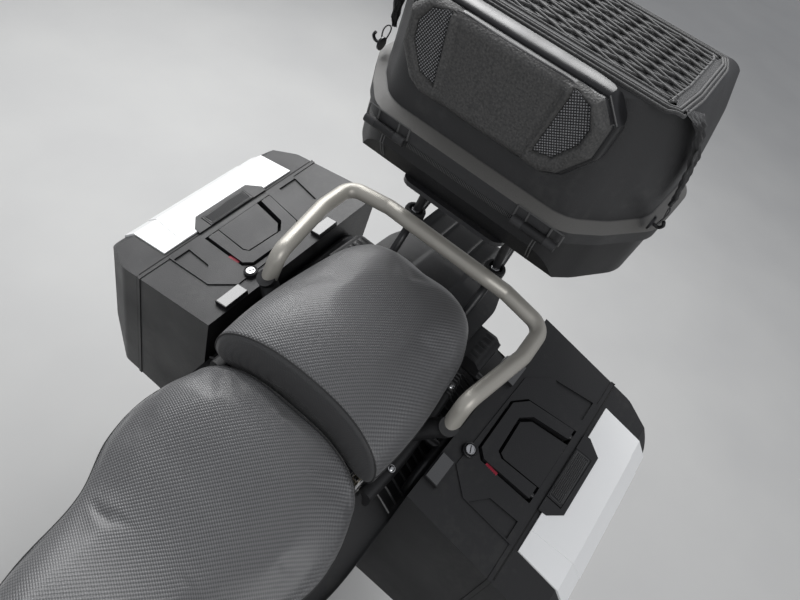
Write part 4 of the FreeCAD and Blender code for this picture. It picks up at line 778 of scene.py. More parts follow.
def swollen(thing, pinned, cap, pressure=4.0, frames=14):
    """Swell a closed mesh by air pressure for some frames, with pinned points held and each step capped."""
    pins = thing.vertex_groups.new(name="seams")
    pins.add(pinned.tolist(), 1.0, "REPLACE")
    cloth = thing.modifiers.new("swell", "CLOTH")
    cloth.settings.quality = 4
    cloth.settings.mass = 0.3
    cloth.settings.use_pressure = True
    cloth.settings.uniform_pressure_force = pressure
    cloth.settings.effector_weights.gravity = 0
    cloth.settings.vertex_group_mass = "seams"
    cloth.collision_settings.use_collision = False
    cloth.point_cache.frame_start = 1
    cloth.point_cache.frame_end = frames
    for step in range(1, frames + 1):
        bpy.context.scene.frame_set(step)
    graph = bpy.context.evaluated_depsgraph_get()
    rest = coordinates(thing.data)
    moved = coordinates(thing.evaluated_get(graph).to_mesh())
    thing.evaluated_get(graph).to_mesh_clear()
    step = (moved - rest).reshape(-1, 3)
    reach = np.maximum(np.linalg.norm(step, axis=1, keepdims=True), 1e-9)
    step *= np.minimum(1, cap / reach)
    thing.modifiers.remove(cloth)
    thing.vertex_groups.clear()
    bpy.context.scene.frame_set(1)
    thing.data.vertices.foreach_set("co", rest + step.ravel())
    thing.data.update()
    print(thing.name, "swelled by up to", round(float(np.minimum(reach, cap).max()) * 1000, 1), "mm")


print("covers can be swollen")

# %% [markdown]
# A cover joins three kinds of vinyl: embossed on top, smooth at the sides, and a satin band at the pillion's
# front. Its map in metres is measured along each ring, so the embossed rows run evenly over the crown.
# Unwrapping could do that too, but it would place the rows anew each time the shape changes.

# %% One seat cover
def seat(name, node_name, rings, band_ring, columns, cap):
    """A seat cover from its rings: embossed top, smooth sides, and a smooth face beyond the band's ring."""
    rows = len(rings)
    places = drawn(rings)
    ends = places[[0, -1]].mean(1)
    quads, near, far = capped_faces(rows, columns)
    mesh = bpy.data.meshes.new(name)
    mesh.from_pydata(np.concatenate([places.reshape(-1, 3), ends]).tolist(), [],
                     quads.tolist() + near.tolist() + far.tolist())
    for material in (seat_vinyl, side_vinyl, band_vinyl):
        mesh.materials.append(material)

    steps = np.linalg.norm(np.diff(places, axis=1, append=places[:, :1]), axis=2)
    around = np.concatenate([np.zeros((rows, 1)), np.cumsum(steps, axis=1)], 1)
    around -= around[:, [columns // 2]]
    along = places[:, :, 0].mean(1)
    row, column = np.divmod(quads, columns)
    column = np.where((column == 0) & (quads[:, :1] % columns == columns - 1), columns, column)
    maps = np.stack([around[row, column], along[row]], -1).reshape(-1, 2)
    spare = np.zeros((3 * (len(near) + len(far)), 2))
    layer = mesh.uv_layers.new(name="cover")
    layer.data.foreach_set("uv", np.concatenate([maps, spare]).astype(np.float32).ravel())

    turn = (quads[:, 0] % columns + 0.5) / columns * SEAT_CORNERS
    smooth_side = (turn < SEAT_EDGE) | (turn > SEAT_CORNERS - SEAT_EDGE)
    pick = np.where(smooth_side, 1, 0)
    if band_ring:
        pick = np.where(quads[:, 0] // columns >= rows - band_ring, 2, pick)
    pick = np.concatenate([pick, np.ones(len(near)), np.full(len(far), 2 if band_ring else 1)])
    mesh.polygons.foreach_set("material_index", pick.astype(np.int32))
    mesh.polygons.foreach_set("use_smooth", np.ones(len(mesh.polygons), bool))
    mesh.update()
    thing = bpy.data.objects.new(name, mesh)
    bpy.context.scene.collection.objects.link(thing)

    numbers = np.arange(rows * columns).reshape(rows, columns)
    at = np.arange(columns) / columns * SEAT_CORNERS
    low = (at < SEAT_PAN) | (at > SEAT_CORNERS - SEAT_PAN)
    share = SEAT_EDGE / SEAT_CORNERS
    edge_columns = [int(round(share * columns)), int(round((1 - share) * columns))]
    pinned = [numbers[:, low], numbers[:SHUT - 1], numbers[1 - SHUT:], numbers[:, edge_columns]]
    if band_ring:
        pinned.append(numbers[rows - band_ring])
    swollen(thing, np.unique(np.concatenate([part.ravel() for part in pinned])), cap)
    rings = coordinates(mesh).reshape(-1, 3)[:rows * columns].reshape(rows, columns, 3)
    smoother = thing.modifiers.new("smoother", "SUBSURF")
    smoother.levels = smoother.render_levels = 1
    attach(thing, "root")
    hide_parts(node_name)
    return rings, edge_columns


print("a seat cover can be made")

# %% [markdown]
# Each row below is a measured section: its place ahead of the rear axle, its half width, and the heights of
# its bottom, edge and crown. The seam between the seats is a circle seen from above.

# %% The two seats
band_vinyl = finish("seat_band_vinyl", (0.045, 0.045, 0.046), 0.42, Sheen_Weight=0.1)
raise_by(band_vinyl, waves(band_vinyl, 0.0030, 0.0030), 0.0002)
uneven(band_vinyl, 0.05, 0.36, 0.5)
SEAM_CENTRE, SEAM_RADIUS = 797, 579
RIDER_FRONT, PILLION_BACK = 690, -94
COLUMNS, SWELL = 120, 0.004


def seam_place(gap):
    """Place of the seam between the seats from the side position: a circle seen from above."""
    return lambda y: SEAM_CENTRE - np.sqrt((SEAM_RADIUS + gap) ** 2 - np.square(y))


def level_place(x):
    """A flat end face."""
    return lambda y: x + 0 * y


rider_stations = [(222, 151, 838, 862, 924), (290, 181, 812, 840, 906), (400, 176, 788, 820, 864),
                  (480, 139, 785, 816, 842), (600, 112, 790, 820, 853), (690, 78, 804, 834, 872)]
rider_rings = seat_rings(rider_stations, seam_place(-3), level_place(RIDER_FRONT), 20, 16, 72, COLUMNS)
rider_rings, rider_edges = seat("rider_seat_cover", "rider_seat", rider_rings, 0, COLUMNS, SWELL)
print("rider's seat:", rider_rings.shape)

pillion_stations = [(-94, 100, 930, 964, 1016), (-60, 125, 916, 956, 1022), (60, 155, 898, 934, 1012),
                    (180, 162, 889, 918, 1000), (236, 158, 889, 916, 984)]
pillion_rings = seat_rings(pillion_stations, level_place(PILLION_BACK), seam_place(3), 34, 12, 60, COLUMNS)
BAND = SHUT - 1 + ROUND - 3
pillion_rings, pillion_edges = seat("pillion_seat_cover", "pillion_seat", pillion_rings, BAND, COLUMNS, SWELL)
print("pillion seat:", pillion_rings.shape)

# %% [markdown]
# Each cover has sewn seams. Where the pillion's embossed top meets the smooth band in front, a thin welt
# stands up with stitches beside it, and the same welt edges the sides. A welt could be a bump in the
# material, but its highlight would be wrong, so it is a thin tube that follows the swelled cover.

# %% Welts and stitches
def outward(rings):
    """Directions away from a closed surface, from its two sets of neighbours."""
    along = np.gradient(rings, axis=0)
    around = np.roll(rings, -1, 1) - np.roll(rings, 1, 1)
    facing = unit(np.cross(along, around))
    return facing * np.sign(np.sum(facing * (rings - rings.mean((0, 1))), -1, keepdims=True).mean())


def stitches(line, facing, pitch, length, radius):
    """Short threads along a line, each a small capsule lying on the cover: places and two directions."""
    reach = reach_along(line)
    at = np.arange(pitch / 2, reach[-1], pitch)
    places, up = (np.stack([np.interp(at, reach, rows[:, k]) for k in range(3)], -1) for rows in (line, facing))
    up = unit(up)
    along = np.gradient(places, axis=0)
    along = unit(along - up * np.sum(along * up, -1, keepdims=True))
    thread_line = np.linspace(-length / 2, length / 2, 5)[:, None] * np.array([1.0, 0, 0])
    grid = tube_grid(thread_line, radius * np.array([0.5, 0.9, 1, 0.9, 0.5]), 6)
    return repeated(grid.reshape(-1, 3), net_of(*grid.shape[:2]), places + up * radius * 0.3, along, up)


def welt(name, line, facing, radius):
    """A thin round welt half sunk in the cover."""
    smooth = path_through(line + facing * radius * 0.25, len(line) * 2)
    return skin(name, tube_grid(smooth, radius, 8), piping, "root", slot="seat_vinyl")


PITCH_OF_STITCHES, STITCH = 0.0052, 0.0034
pillion_out, rider_out = outward(pillion_rings), outward(rider_rings)
band_row = len(pillion_rings) - BAND
seam_columns = slice(pillion_edges[0] - 12, pillion_edges[1] + 13)
band_line, band_out = pillion_rings[band_row, seam_columns], pillion_out[band_row, seam_columns]
welt("pillion_band_welt", band_line, band_out, 0.0013)
back_row = pillion_rings[band_row - 1, seam_columns] * 0.35 + pillion_rings[band_row - 2, seam_columns] * 0.65
sewn = stitches(back_row, pillion_out[band_row - 2, seam_columns], PITCH_OF_STITCHES, STITCH, 0.00055)
made("pillion_band_stitches", *sewn, thread, "root", slot="seat_vinyl")
for who, rings, facing, edges, last in (("pillion", pillion_rings, pillion_out, pillion_edges, band_row + 1),
                                        ("rider", rider_rings, rider_out, rider_edges, len(rider_rings) - SHUT - 4)):
    rows = slice(SHUT + 2, last)
    for (side, _), column in zip(SIDES, edges):
        welt(f"{who}_{side}_welt", rings[rows, column], facing[rows, column], 0.0010)
rear_row = SHUT + 3
rider_columns = slice(rider_edges[0] - 4, rider_edges[1] + 5)
welt("rider_rear_welt", rider_rings[rear_row, rider_columns], rider_out[rear_row, rider_columns], 0.0011)
sewn = stitches(rider_rings[rear_row + 2, rider_columns], rider_out[rear_row + 2, rider_columns], PITCH_OF_STITCHES,
                STITCH, 0.0005)
made("rider_rear_stitches", *sewn, thread, "root", slot="seat_vinyl")
print("seams are sewn")

# %% [markdown]
# ## Back pad
# The pad on the top case is padding on a smooth moulded base. The base rises from the lid's upright front
# wall, then a thick rolled rim stands up from it. The grained middle lies a little lower between two
# slanting grooves, and two windows with rounded corners are set with wire mesh. All of that is one height
# above the wall, worked out from distances to a few straight lines, so every radius is under control.

# %% The pad's height above the wall
PAD_WALL = -58
PAD_OUTLINE = [(-98, 1321), (98, 1321), (124, 1334), (153, 1378), (155, 1430), (126, 1460), (-126, 1460),
               (-155, 1430), (-153, 1378), (-124, 1334)]
MESH_WINDOW = [(76, 1352), (104, 1358), (126, 1392), (128, 1416), (114, 1440), (87, 1447)]


def pad_place(y, z, lift):
    """A place across and up on the lid's front wall, and out from it, in millimetres."""
    return placed(PAD_WALL + lift, y, z)


def edge_distance(y, z, corners):
    """Distance inside a convex outline: the least distance to any of its edges, negative outside."""
    corners = np.asarray(corners, float)
    ahead_of = np.roll(corners, -1, 0) - corners
    across = np.stack([-ahead_of[:, 1], ahead_of[:, 0]], -1) / np.linalg.norm(ahead_of, axis=1, keepdims=True)
    point = np.stack([y, z], -1)[..., None, :]
    return np.sum((point - corners) * across, -1).min(-1)


def step_up(value, low, high):
    """Smooth step from 0 at low to 1 at high."""
    t = np.clip((value - low) / (high - low), 0, 1)
    return t * t * (3 - 2 * t)


def quarter_round(value, radius):
    """Height from 0 to 1 of a quarter circle that rises over a radius."""
    return np.sqrt(np.maximum(1 - (1 - np.clip(value / radius, 0, 1)) ** 2, 0))


def ridge(value, width):
    """A smooth ridge, 1 high where the value is 0."""
    return np.exp(-np.square(value / width))


def groove_distance(y, z):
    """Distance outside the slanting groove that bounds the middle."""
    return np.abs(y) - (70 + (z - 1345) * 0.10)


def pad_height(y, z):
    """Moulded base, rolled rim, lower middle, grooves and sunk windows, in millimetres above the wall."""
    inside = edge_distance(y, z, PAD_OUTLINE)
    beside = groove_distance(y, z)
    padding = quarter_round(inside - 9, 15)
    middle = step_up(-beside, -0.5, 5)
    height = 25 * quarter_round(inside, 7) + 20.5 * padding
    height -= middle * step_up(inside, 8, 14) * (4.5 - 2.5 * (1 - np.square(y / 75)))
    height -= 2.6 * ridge(beside, 1.5) * step_up(inside, 6, 12)
    window = edge_distance(np.abs(y), z, MESH_WINDOW)
    return height - 7 * step_up(window, -2, 3)


print("the pad has a height everywhere")

# %% [markdown]
# The pad's outline is a loop with rounded corners. Rings that shrink from it towards the middle carry the
# height, and the cells outside the padding get the smooth finish.

# %% The pad's surface
def loop_places(corners, count, rounding):
    """Closed B-spline through an outline whose corners are first cut back by a rounding length."""
    corners = np.asarray(corners, float)
    before, after = np.roll(corners, 1, 0) - corners, np.roll(corners, -1, 0) - corners
    cut = [corners + rounding * unit(before), corners, corners + rounding * unit(after)]
    return rounded_loop(np.stack(cut, 1).reshape(-1, 2)[None], count)[0]


pad_loop = loop_places(PAD_OUTLINE, 280, 9)
pad_share = np.concatenate([[0], 1 - np.linspace(0, 1, 26)[:-1] ** 1.4 * 0.25, np.linspace(0.75, 0, 60)])
pad_middle = np.array([0, 1392])
flat_pad = pad_middle + pad_share[:, None, None] * (np.concatenate([pad_loop, pad_loop[:1]]) - pad_middle)
pad_y, pad_z = flat_pad[..., 0], flat_pad[..., 1]
pad_lift = pad_height(pad_y, pad_z)
pad_lift[0] = 0
pad_grid = pad_place(pad_y, pad_z, pad_lift)
cell_y, cell_z = (0.25 * (g[1:, 1:] + g[1:, :-1] + g[:-1, 1:] + g[:-1, :-1]) for g in (pad_y, pad_z))
smooth_cell = edge_distance(cell_y, cell_z, PAD_OUTLINE) < np.where(groove_distance(cell_y, cell_z) < 0, 12, 9.5)
pad = skin("back_pad_cover", pad_grid, [pad_grain, smooth_plastic], "top_lid", slot="back_pad_foam", crease=60,
           pick=smooth_cell)
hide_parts("back_pad")
print("pad:", len(pad.data.polygons), "faces")

# %% [markdown]
# The mesh in the two windows is woven wire. A lattice of real wires is only a few hundred thin tubes, and
# it catches the light where a picture of wire would not, so each wire is its own thin, square tube.

# %% Wire mesh in the windows
def clipped(start, step, corners):
    """Part of a straight line inside a convex outline, as two places along it."""
    corners = np.asarray(corners, float)
    edge = np.roll(corners, -1, 0) - corners
    across = np.stack([-edge[:, 1], edge[:, 0]], -1)
    rate, gap = across @ step, np.sum(across * (start - corners), -1)
    meet = -gap / np.where(rate == 0, 1e-9, rate)
    return np.max(meet[rate > 0]), np.min(meet[rate < 0])


def mesh_wires(corners, pitch, lean):
    """Two sets of parallel wires, clipped to a window, as pairs of end places."""
    corners = np.asarray(corners, float)
    ends = []
    for angle in (lean, lean + math.pi / 2):
        step = np.array([math.cos(angle), math.sin(angle)])
        aside = np.array([-step[1], step[0]])
        offsets = corners @ aside
        for offset in np.arange(offsets.min() + pitch / 2, offsets.max(), pitch):
            low, high = clipped(aside * offset, step, corners)
            if high - low > pitch:
                ends.append((aside * offset + step * low, aside * offset + step * high))
    return np.array(ends)


window_wire = rippled("window_wire", (0.025, 0.025, 0.025), 0.45, 0.0008, 1, 0.00005, 0.3)
window_back = rippled("window_back", (0.66, 0.66, 0.68), 0.35, 0.0012, 1, 0.0001)
WINDOW_LEVEL, WIRE_PITCH = 40.5, 3.3
wires = mesh_wires(MESH_WINDOW, WIRE_PITCH, math.radians(28))
for side, sign in SIDES:
    lines = [pad_place(sign * np.linspace(a[0], b[0], 6), np.linspace(a[1], b[1], 6), WINDOW_LEVEL) for a, b in wires]
    group(f"{side}_window_wires", [tube_grid(line, 0.0007, 4, False) for line in lines], window_wire, "top_lid",
          slot="back_pad_foam", tidy=False)
    backing = loop_places(MESH_WINDOW, 48, 6)
    rings = np.linspace(1, 0, 4)[:, None, None] * (backing - backing.mean(0)) + backing.mean(0)
    rings = np.concatenate([rings, rings[:, :1]], 1)
    skin(f"{side}_window_back", pad_place(sign * rings[..., 0], rings[..., 1], WINDOW_LEVEL - 1.1), window_back,
         "top_lid", slot="back_pad_foam")
print(len(wires), "wires in each window")

# %% [markdown]
# ## Cargo net
# An elastic net is strapped over the lid. A black woven band edges it, and round cords cross inside it in
# long diamonds. The cords lie on the roof and follow its rounded edges, so a function gives the roof's
# height anywhere. Only the band is a sheet of cloth; the cords are separate pieces on it.

# %% The roof of the lid
ROOF, ROOF_HALF, ROOF_FRONT = 1461, 188, -74
SIDE_ROUND, FRONT_ROUND = 30, 16


def roof_level(a, y):
    """Height of the lid's roof: flat, then dropping on a circle past the front edge or a side edge."""
    past_side = np.clip(np.abs(y) - ROOF_HALF, 0, SIDE_ROUND - 1)
    past_front = np.clip(a - ROOF_FRONT, 0, FRONT_ROUND - 1)
    drop_side = SIDE_ROUND - np.sqrt(SIDE_ROUND**2 - past_side**2)
    return ROOF - drop_side - (FRONT_ROUND - np.sqrt(FRONT_ROUND**2 - past_front**2))


def on_roof(a, y, lift):
    """Places a little above the roof, from rows or grids of values in millimetres."""
    return placed(a, y, roof_level(a, y) + lift)


net_cloth = finish("net_cloth", (0.018, 0.018, 0.019), 0.75, Sheen_Weight=0.3, Sheen_Roughness=0.5)
raise_by(net_cloth, waves(net_cloth, 0.0022, 0.0016), 0.0004)
clouded(net_cloth, (0.035, 0.035, 0.036), 0.02, 0.6, 4)
net_cord = rippled("net_cord", (0.030, 0.030, 0.031), 0.6, 0.0012, 2, 0.0004, Sheen_Weight=0.2)
clouded(net_cord, (0.075, 0.074, 0.072), 0.0016, detail=1)
print("roof at", ROOF, "mm")

# %% [markdown]
# The band round the net is elastic webbing, stretched flat over the roof. It is one open frame of cloth, so
# its cells run round the frame and its corners stay whole; four separate straps would overlap there.

# %% The woven band
BAND_WIDTH, BAND_THICK, BAND_LIFT = 27, 1.3, 0.6
band_corners = np.array([(-63, 184), (-74, 203), (-160, 208), (-300, 206), (-328, 196), (-332, 170),
                         (-332, -170), (-328, -196), (-300, -206), (-160, -208), (-74, -203), (-63, -184)])
outer_loop = loop_places(band_corners, 220, 8)
band_middle = np.array([-198, 0])
toward = unit(np.stack([np.gradient(outer_loop[:, 1]), -np.gradient(outer_loop[:, 0])], -1))
toward *= np.sign(np.sum(toward * (band_middle - outer_loop), -1, keepdims=True).mean())
across_band = np.linspace(0, BAND_WIDTH, 9)
flat_band = outer_loop[None] + across_band[:, None, None] * toward[None]
flat_band = np.concatenate([flat_band, flat_band[:, :1]], 1)
over = on_roof(flat_band[..., 0], flat_band[..., 1], BAND_LIFT + BAND_THICK)
under = on_roof(flat_band[..., 0], flat_band[..., 1], BAND_LIFT)
band_grid = np.concatenate([over, under[::-1], over[:1]])
around_band = reach_along(flat_band[0]) / 1000
across_maps = np.concatenate([across_band, across_band[::-1] + 40, [80]]) / 1000
band_maps = np.stack(np.broadcast_arrays(across_maps[:, None], around_band[None]), -1)
net_band = skin("cargo_net_band", band_grid, net_cloth, "top_lid", slot="net_elastic", maps=band_maps, crease=50)
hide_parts("cargo_net")

# %% [markdown]
# The net itself is two families of elastic cord that cross in diamonds. Each cord follows the roof and weaves
# a little over and under the others, which a flat pattern in a material could not show from the side.

# %% Cords in diamonds, and the band's sewn cords
DIAMOND_LONG, DIAMOND_SHORT, CORD = 64, 25, 1.9


def net_lines(sign, low, high, half):
    """Straight cords on one slant, each clipped to the inside of the band, as rows of places."""
    slope = sign * DIAMOND_SHORT / DIAMOND_LONG
    starts = np.arange(low - half * abs(slope), high + half * abs(slope), DIAMOND_SHORT)
    side = np.linspace(-half, half, 90)
    rows = starts[:, None] + slope * side[None]
    inside = [(row, (row > low) & (row < high)) for row in rows]
    return [(row[keep], side[keep]) for row, keep in inside if keep.sum() > 4]


NET_BACK, NET_FRONT, NET_HALF = -307, -88, 182
cords = []
for sign in (1, -1):
    for a, y in net_lines(sign, NET_BACK, NET_FRONT, NET_HALF):
        ripple = 0.8 * np.sin(y / DIAMOND_LONG * np.pi * 2 + sign)
        cords.append(tube_grid(on_roof(a, y, CORD + 0.8 + sign * 0.8 + ripple * 0.4), CORD / 1000, 6))
net_cords = group("cargo_net_cords", cords, net_cord, "top_lid", slot="net_elastic", crease=80)
edge_cords = []
for offset in (1.5, 6.5, 11.0, BAND_WIDTH - 2):
    line = outer_loop + toward * offset
    line = np.concatenate([line, line[:2]])
    edge_cords.append(tube_grid(on_roof(line[:, 0], line[:, 1], 2.6), 0.0017, 6, False))
net_edges = group("cargo_net_edge_cords", edge_cords, net_cord, "top_lid", slot="net_elastic", crease=80)
print(len(cords), "cords in the net")

# %% [markdown]
# At each front corner the band runs out into a gathered tab of cloth. It hangs down the side of the lid and
# ends in an elastic loop on a small hook. Gathered cloth has folds that run along it and grow tighter where
# it is pinched, so the tab is a tapering strip whose surface carries a few waves across its width.

# %% Gathered tabs
def lid_side(z, extra):
    """Half width of the lid at a height, with something extra outside it."""
    heights, halves = [1275, 1320, 1392, 1430, 1450, 1461], [250, 250, 236, 224, 212, 196]
    return np.interp(z, heights, halves) + extra


def tab_grid(sign, rows=46, columns=25):
    """A strip from the net's corner down the lid's side: half width shrinks, and folds deepen, towards the hook."""
    t = np.linspace(0, 1, rows)
    route = [(-112, 1458, 36), (-134, 1428, 20), (-168, 1370, 14), (-188, 1320, 10), (-193, 1302, 5)]
    route_a, route_z, half = flowing(t, [0, 0.3, 0.6, 0.85, 1], route).T
    across = np.linspace(-1, 1, columns)
    depth = np.interp(t, [0, 0.15, 0.5, 1], [1.0, 3.5, 3.5, 2.0])
    folds = np.sin(across[None] * 7 + 3 * t[:, None]) + 0.6 * np.sin(across[None] * 15 - 9 * t[:, None] + 1)
    crumple = 0.5 * np.sin(t[:, None] * 40 + across[None] * 5)
    a = route_a[:, None] + across[None] * half[:, None]
    z = route_z[:, None] + across[None] * half[:, None] * 0.25
    y = lid_side(z, 3.5) + depth[:, None] * (folds + crumple) * 0.8 + 2
    return np.stack([a, sign * y, z], -1)


HOOK = [(0, 0, 0), (2, 10, 1), (4, 13, 8), (5, 10, 14)]
BUTTON = [(0, 0), (0, 11), (3, 11), (4.5, 9), (4.5, 0)]
for side, sign in SIDES:
    flat = tab_grid(sign)
    places = drawn(flat)
    inner_side = drawn(flat - (0, sign * 1.4, 0))
    shell = np.concatenate([places, inner_side[::-1], places[:1]])
    maps = np.stack(field((0, 0.4, len(shell)), (0, 0.06, flat.shape[1])), -1)
    tab = skin(f"{side}_net_tab", shell, net_cloth, "top_lid", slot="net_elastic", maps=maps, crease=50)
    foot = flat[-1, flat.shape[1] // 2]
    turn = np.linspace(0, 2 * np.pi, 25)
    hoop = foot + np.stack([11 * np.cos(turn) + 12, sign * (3 + 1.5 * np.sin(2 * turn)), 15 * np.sin(turn) - 12], -1)
    hoop = tube_grid(drawn(hoop), 0.0012, 6, False)
    loop_piece = skin(f"{side}_net_loop", hoop, net_cord, "top_lid", slot="net_elastic")
    hook_at = drawn(foot + (34, -sign * 4, -18))
    hook_line = hook_at + np.array(HOOK) * (1, sign, 1) / 1000
    button = turned_grid(hook_at - (0, sign * 0.004, 0), (0, sign, 0), BUTTON, 20)
    group(f"{side}_net_hook", [tube_grid(path_through(hook_line, 14), 0.0026, 8), button], smooth_plastic, "top_lid",
          slot="case_plastic")
print("tabs and hooks are on")

# %% [markdown]
# ## Side cases
# The moulded tops are in the CAD already. What it leaves out is small and bright: a chrome lock barrel with
# its key slot in a ring, the ribs that a thumb pushes on the latch, a red index mark, and a rubber lip in
# the seam. A helper gives any place on the sloping top, so every detail lies flat on it.

# %% A place on a side case's top
CASE_PITCH, CASE_SLOPE = math.tan(math.radians(7.8)), math.tan(math.radians(11))
CASE_UP = unit([CASE_PITCH, CASE_SLOPE, 1])
CASE_A, CASE_Y, CASE_Z = 70, 212, 905


def case_top(a, y, lift, sign=1):
    """Places on the sloping top of the left case, raised square to it; sign -1 mirrors them to the right."""
    a, y, lift = np.broadcast_arrays(np.asarray(a, float), np.asarray(y, float), np.asarray(lift, float))
    level = CASE_Z - (a - CASE_A) * CASE_PITCH - (y - CASE_Y) * CASE_SLOPE
    places = np.stack([a, y, level], -1) + CASE_UP * lift[..., None]
    return drawn(places * (1, sign, 1))


red_mark = rippled("red_mark", (0.30, 0.01, 0.03), 0.5, 0.0006, 2, 0.0002)
# The key slot's near-black is painted shade, standing in for the recess of the slot in the barrel.
key_slot = rippled("key_slot", (0.004, 0.004, 0.004), 0.7, 0.0008, 1, 0.0001)
latch_plastic = grained("latch_plastic", (0.035, 0.035, 0.036), 0.4, 0.0009, 0.00015)
gasket = grained("gasket_rubber", (0.008, 0.008, 0.008), 0.7, 0.0011, 0.0001)
LOCK_RING = [(0, 8.5), (0.5, 9.8), (2.2, 10.8), (3, 11.8), (2.2, 12.8), (0, 13), (0, 8.5)]
LOCK_BARREL = [(0, 0), (0, 8.6), (3, 8.6), (3.8, 8), (3.8, 7), (3, 6.6), (3, 0)]

for side, sign in SIDES:
    up = CASE_UP * (1, sign, 1)
    lock = case_top(70, 244, 4.8, sign)
    group(f"{side}_lock_ring", [turned_grid(lock, up, LOCK_RING, 40)], smooth_plastic, "root", slot="case_plastic")
    group(f"{side}_lock_barrel", [turned_grid(lock, up, LOCK_BARREL, 40)], bright_metal, "root", slot="axle_steel")
    slot_line = case_top(np.linspace(64.6, 75.4, 6), np.linspace(241.5, 246.5, 6), 7.9, sign)
    skin(f"{side}_key_slot", tube_grid(slot_line, 0.0009, 8), key_slot, "root", slot="case_plastic")

    ridges = [tube_grid(case_top(np.linspace(20, -75, 12), y, 6.2, sign), 0.0013, 8)
              for y in np.arange(391.5, 414, 3.2)]
    frame_line = case_top(*loop_places([(24, 388.5), (22.5, 412), (-80, 415), (-76, 389.5)], 60, 5).T, 6.1, sign)
    ridges.append(tube_grid(np.concatenate([frame_line, frame_line[:2]]), 0.0012, 6, False))
    group(f"{side}_latch_ribs", ridges, latch_plastic, f"{side}_lid", slot="case_plastic")
    mark_a, mark_y = field((62.5, 67.5, 5), (278, 302, 18))
    rough_edge = 1.2 * np.sin(mark_y * 1.7) * (mark_a > 65)
    skin(f"{side}_red_mark", case_top(mark_a + rough_edge, mark_y, 2.75, sign), red_mark, "root", slot="case_plastic")

    lip = [tube_grid(case_top(np.linspace(192, -244, 40), y, 0.2, sign), 0.0011, 6) for y in (383.2, 385.3, 387.4)]
    for a, top in ((198.4, 856), (-248.4, 918)):
        lip.append(tube_grid(placed(a, sign * 385.3, np.linspace(575, top, 20)), 0.0012, 6))
    group(f"{side}_seam_lip", lip, gasket, "root", slot="case_plastic")
print("side cases have locks, latches and lips")

# %% [markdown]
# ## Top case trim
# The base has two upright seams in front, the hinges sit between thin ribs on the skirt, and a corded rail
# joins them. A groove or a rib cut into the CAD's faces would need a boolean. Thin tubes laid on the faces
# catch the same light, and their plastic is lighter than the case's as a painted highlight along each rib and seam.

# %% Hinge ribs, seams and rail
# The ribs' and seams' plastic is lighter than the black case: a painted highlight, as if light caught their edges.
rib_highlight_plastic = grained("rib_highlight_plastic", (0.085, 0.085, 0.084), 0.38, 0.0010, 0.0001)
SKIRT_FRONT, SPLIT = -37, 1245
HINGE_SIDE, HINGE_HALF, HINGE_HIGH = 132, 37, 20
trim = []
for middle in (HINGE_SIDE, -HINGE_SIDE):
    for offset in (-HINGE_HALF, -HINGE_HALF / 2, HINGE_HALF / 2, HINGE_HALF):
        z = np.linspace(SPLIT + 1, SPLIT + HINGE_HIGH, 8)
        trim.append(tube_grid(placed(SKIRT_FRONT + 0.6, middle + offset, z), 0.0016, 6))
    y = np.linspace(middle - HINGE_HALF, middle + HINGE_HALF, 10)
    trim.append(tube_grid(placed(SKIRT_FRONT + 0.4, y, SPLIT + HINGE_HIGH), 0.0013, 6))
group("hinge_ribs", trim, rib_highlight_plastic, "top_lid", slot="case_plastic")

RIB_A, RIB_Z, RIB_PITCH = [-41.6, -39.9, -39.9, -41.6], [1233.6, 1236, 1240, 1242.4], 2.6
ribs = [tube_grid(placed(RIB_A, y, RIB_Z), 0.0007, 5) for y in np.arange(-93, 94, RIB_PITCH)]
group("base_rail_ribs", ribs, rib_highlight_plastic, "root", slot="case_plastic")
seams = []
for y in (-137, 137):
    z = np.linspace(1183, 1238, 16)
    a = np.interp(z, [1168, 1212, 1245], [-70.5, -45.6, -45.6])
    for aside in (-2.2, 2.2):
        seams.append(tube_grid(placed(a + 0.4, y + aside, z), 0.0011, 6))
group("base_seams", seams, rib_highlight_plastic, "root", slot="case_plastic")
print(len(ribs), "ribs along the hinge rail")

# %% [markdown]
# ## Around the pillion seat
# Between the seat and the side cases lie black side panels with screws and cooling ribs, and a deep tray
# that closes the view down to the wheel. Behind the seat a hood covers the lamp, and two bolted bosses hold
# the rack. Panels and trays are one cross-section carried along measured stations, which keeps their edges
# fair; separate flat boxes would show steps.

# %% Carried sections and screws
def carried(stations, corners, columns=28, steps=46):
    """Closed loops between measured stations: each row of values is turned into corners, rounded and capped."""
    stations = np.asarray(stations, float)
    at = np.linspace(stations[0, 0], stations[-1, 0], steps)
    loops = rounded_loop(corners(*flowing(at, stations[:, 0], stations[:, 1:]).T), columns)
    loops = np.concatenate([loops, loops[:, :1]], 1)
    ends = loops[[0, -1]].mean(1, keepdims=True) + 0 * loops[[0, -1]]
    rows = np.concatenate([ends[:1], loops, ends[1:]])
    places = np.concatenate([at[:1], at, at[-1:]])
    return np.concatenate([places[:, None, None] + 0 * rows[..., :1], rows], -1)


def cornered(*pairs):
    """Corners of a section from pairs of values, each pair one column of places."""
    return np.stack([np.stack(np.broadcast_arrays(*pair), -1) for pair in pairs], 1)


def edge_strip(outer, top):
    """A leaning strip with a rolled outer edge."""
    return cornered((outer - 26, top - 2), (outer - 8, top), (outer - 1, top - 5), (outer, top - 20),
                    (outer - 3, top - 34), (outer - 12, top - 37), (outer - 14, top - 14), (outer - 26, top - 9))


def tray(inner, inner_top, outer, outer_top):
    """A sloping plate with an upturned outer edge."""
    return cornered((inner, inner_top), (outer - 12, outer_top), (outer - 1, outer_top + 8), (outer, outer_top + 5),
                    (outer - 9, outer_top - 6), (inner, inner_top - 6))


def cover(top_y, top_z, low_y, low_z):
    """An upright panel that bulges a little outward."""
    middle_y, middle_z = (top_y + low_y) / 2 + 9, (top_z + low_z) / 2
    return cornered((top_y, top_z), (middle_y, middle_z), (low_y, low_z), (low_y - 5, low_z),
                    (middle_y - 5, middle_z), (top_y - 5, top_z))


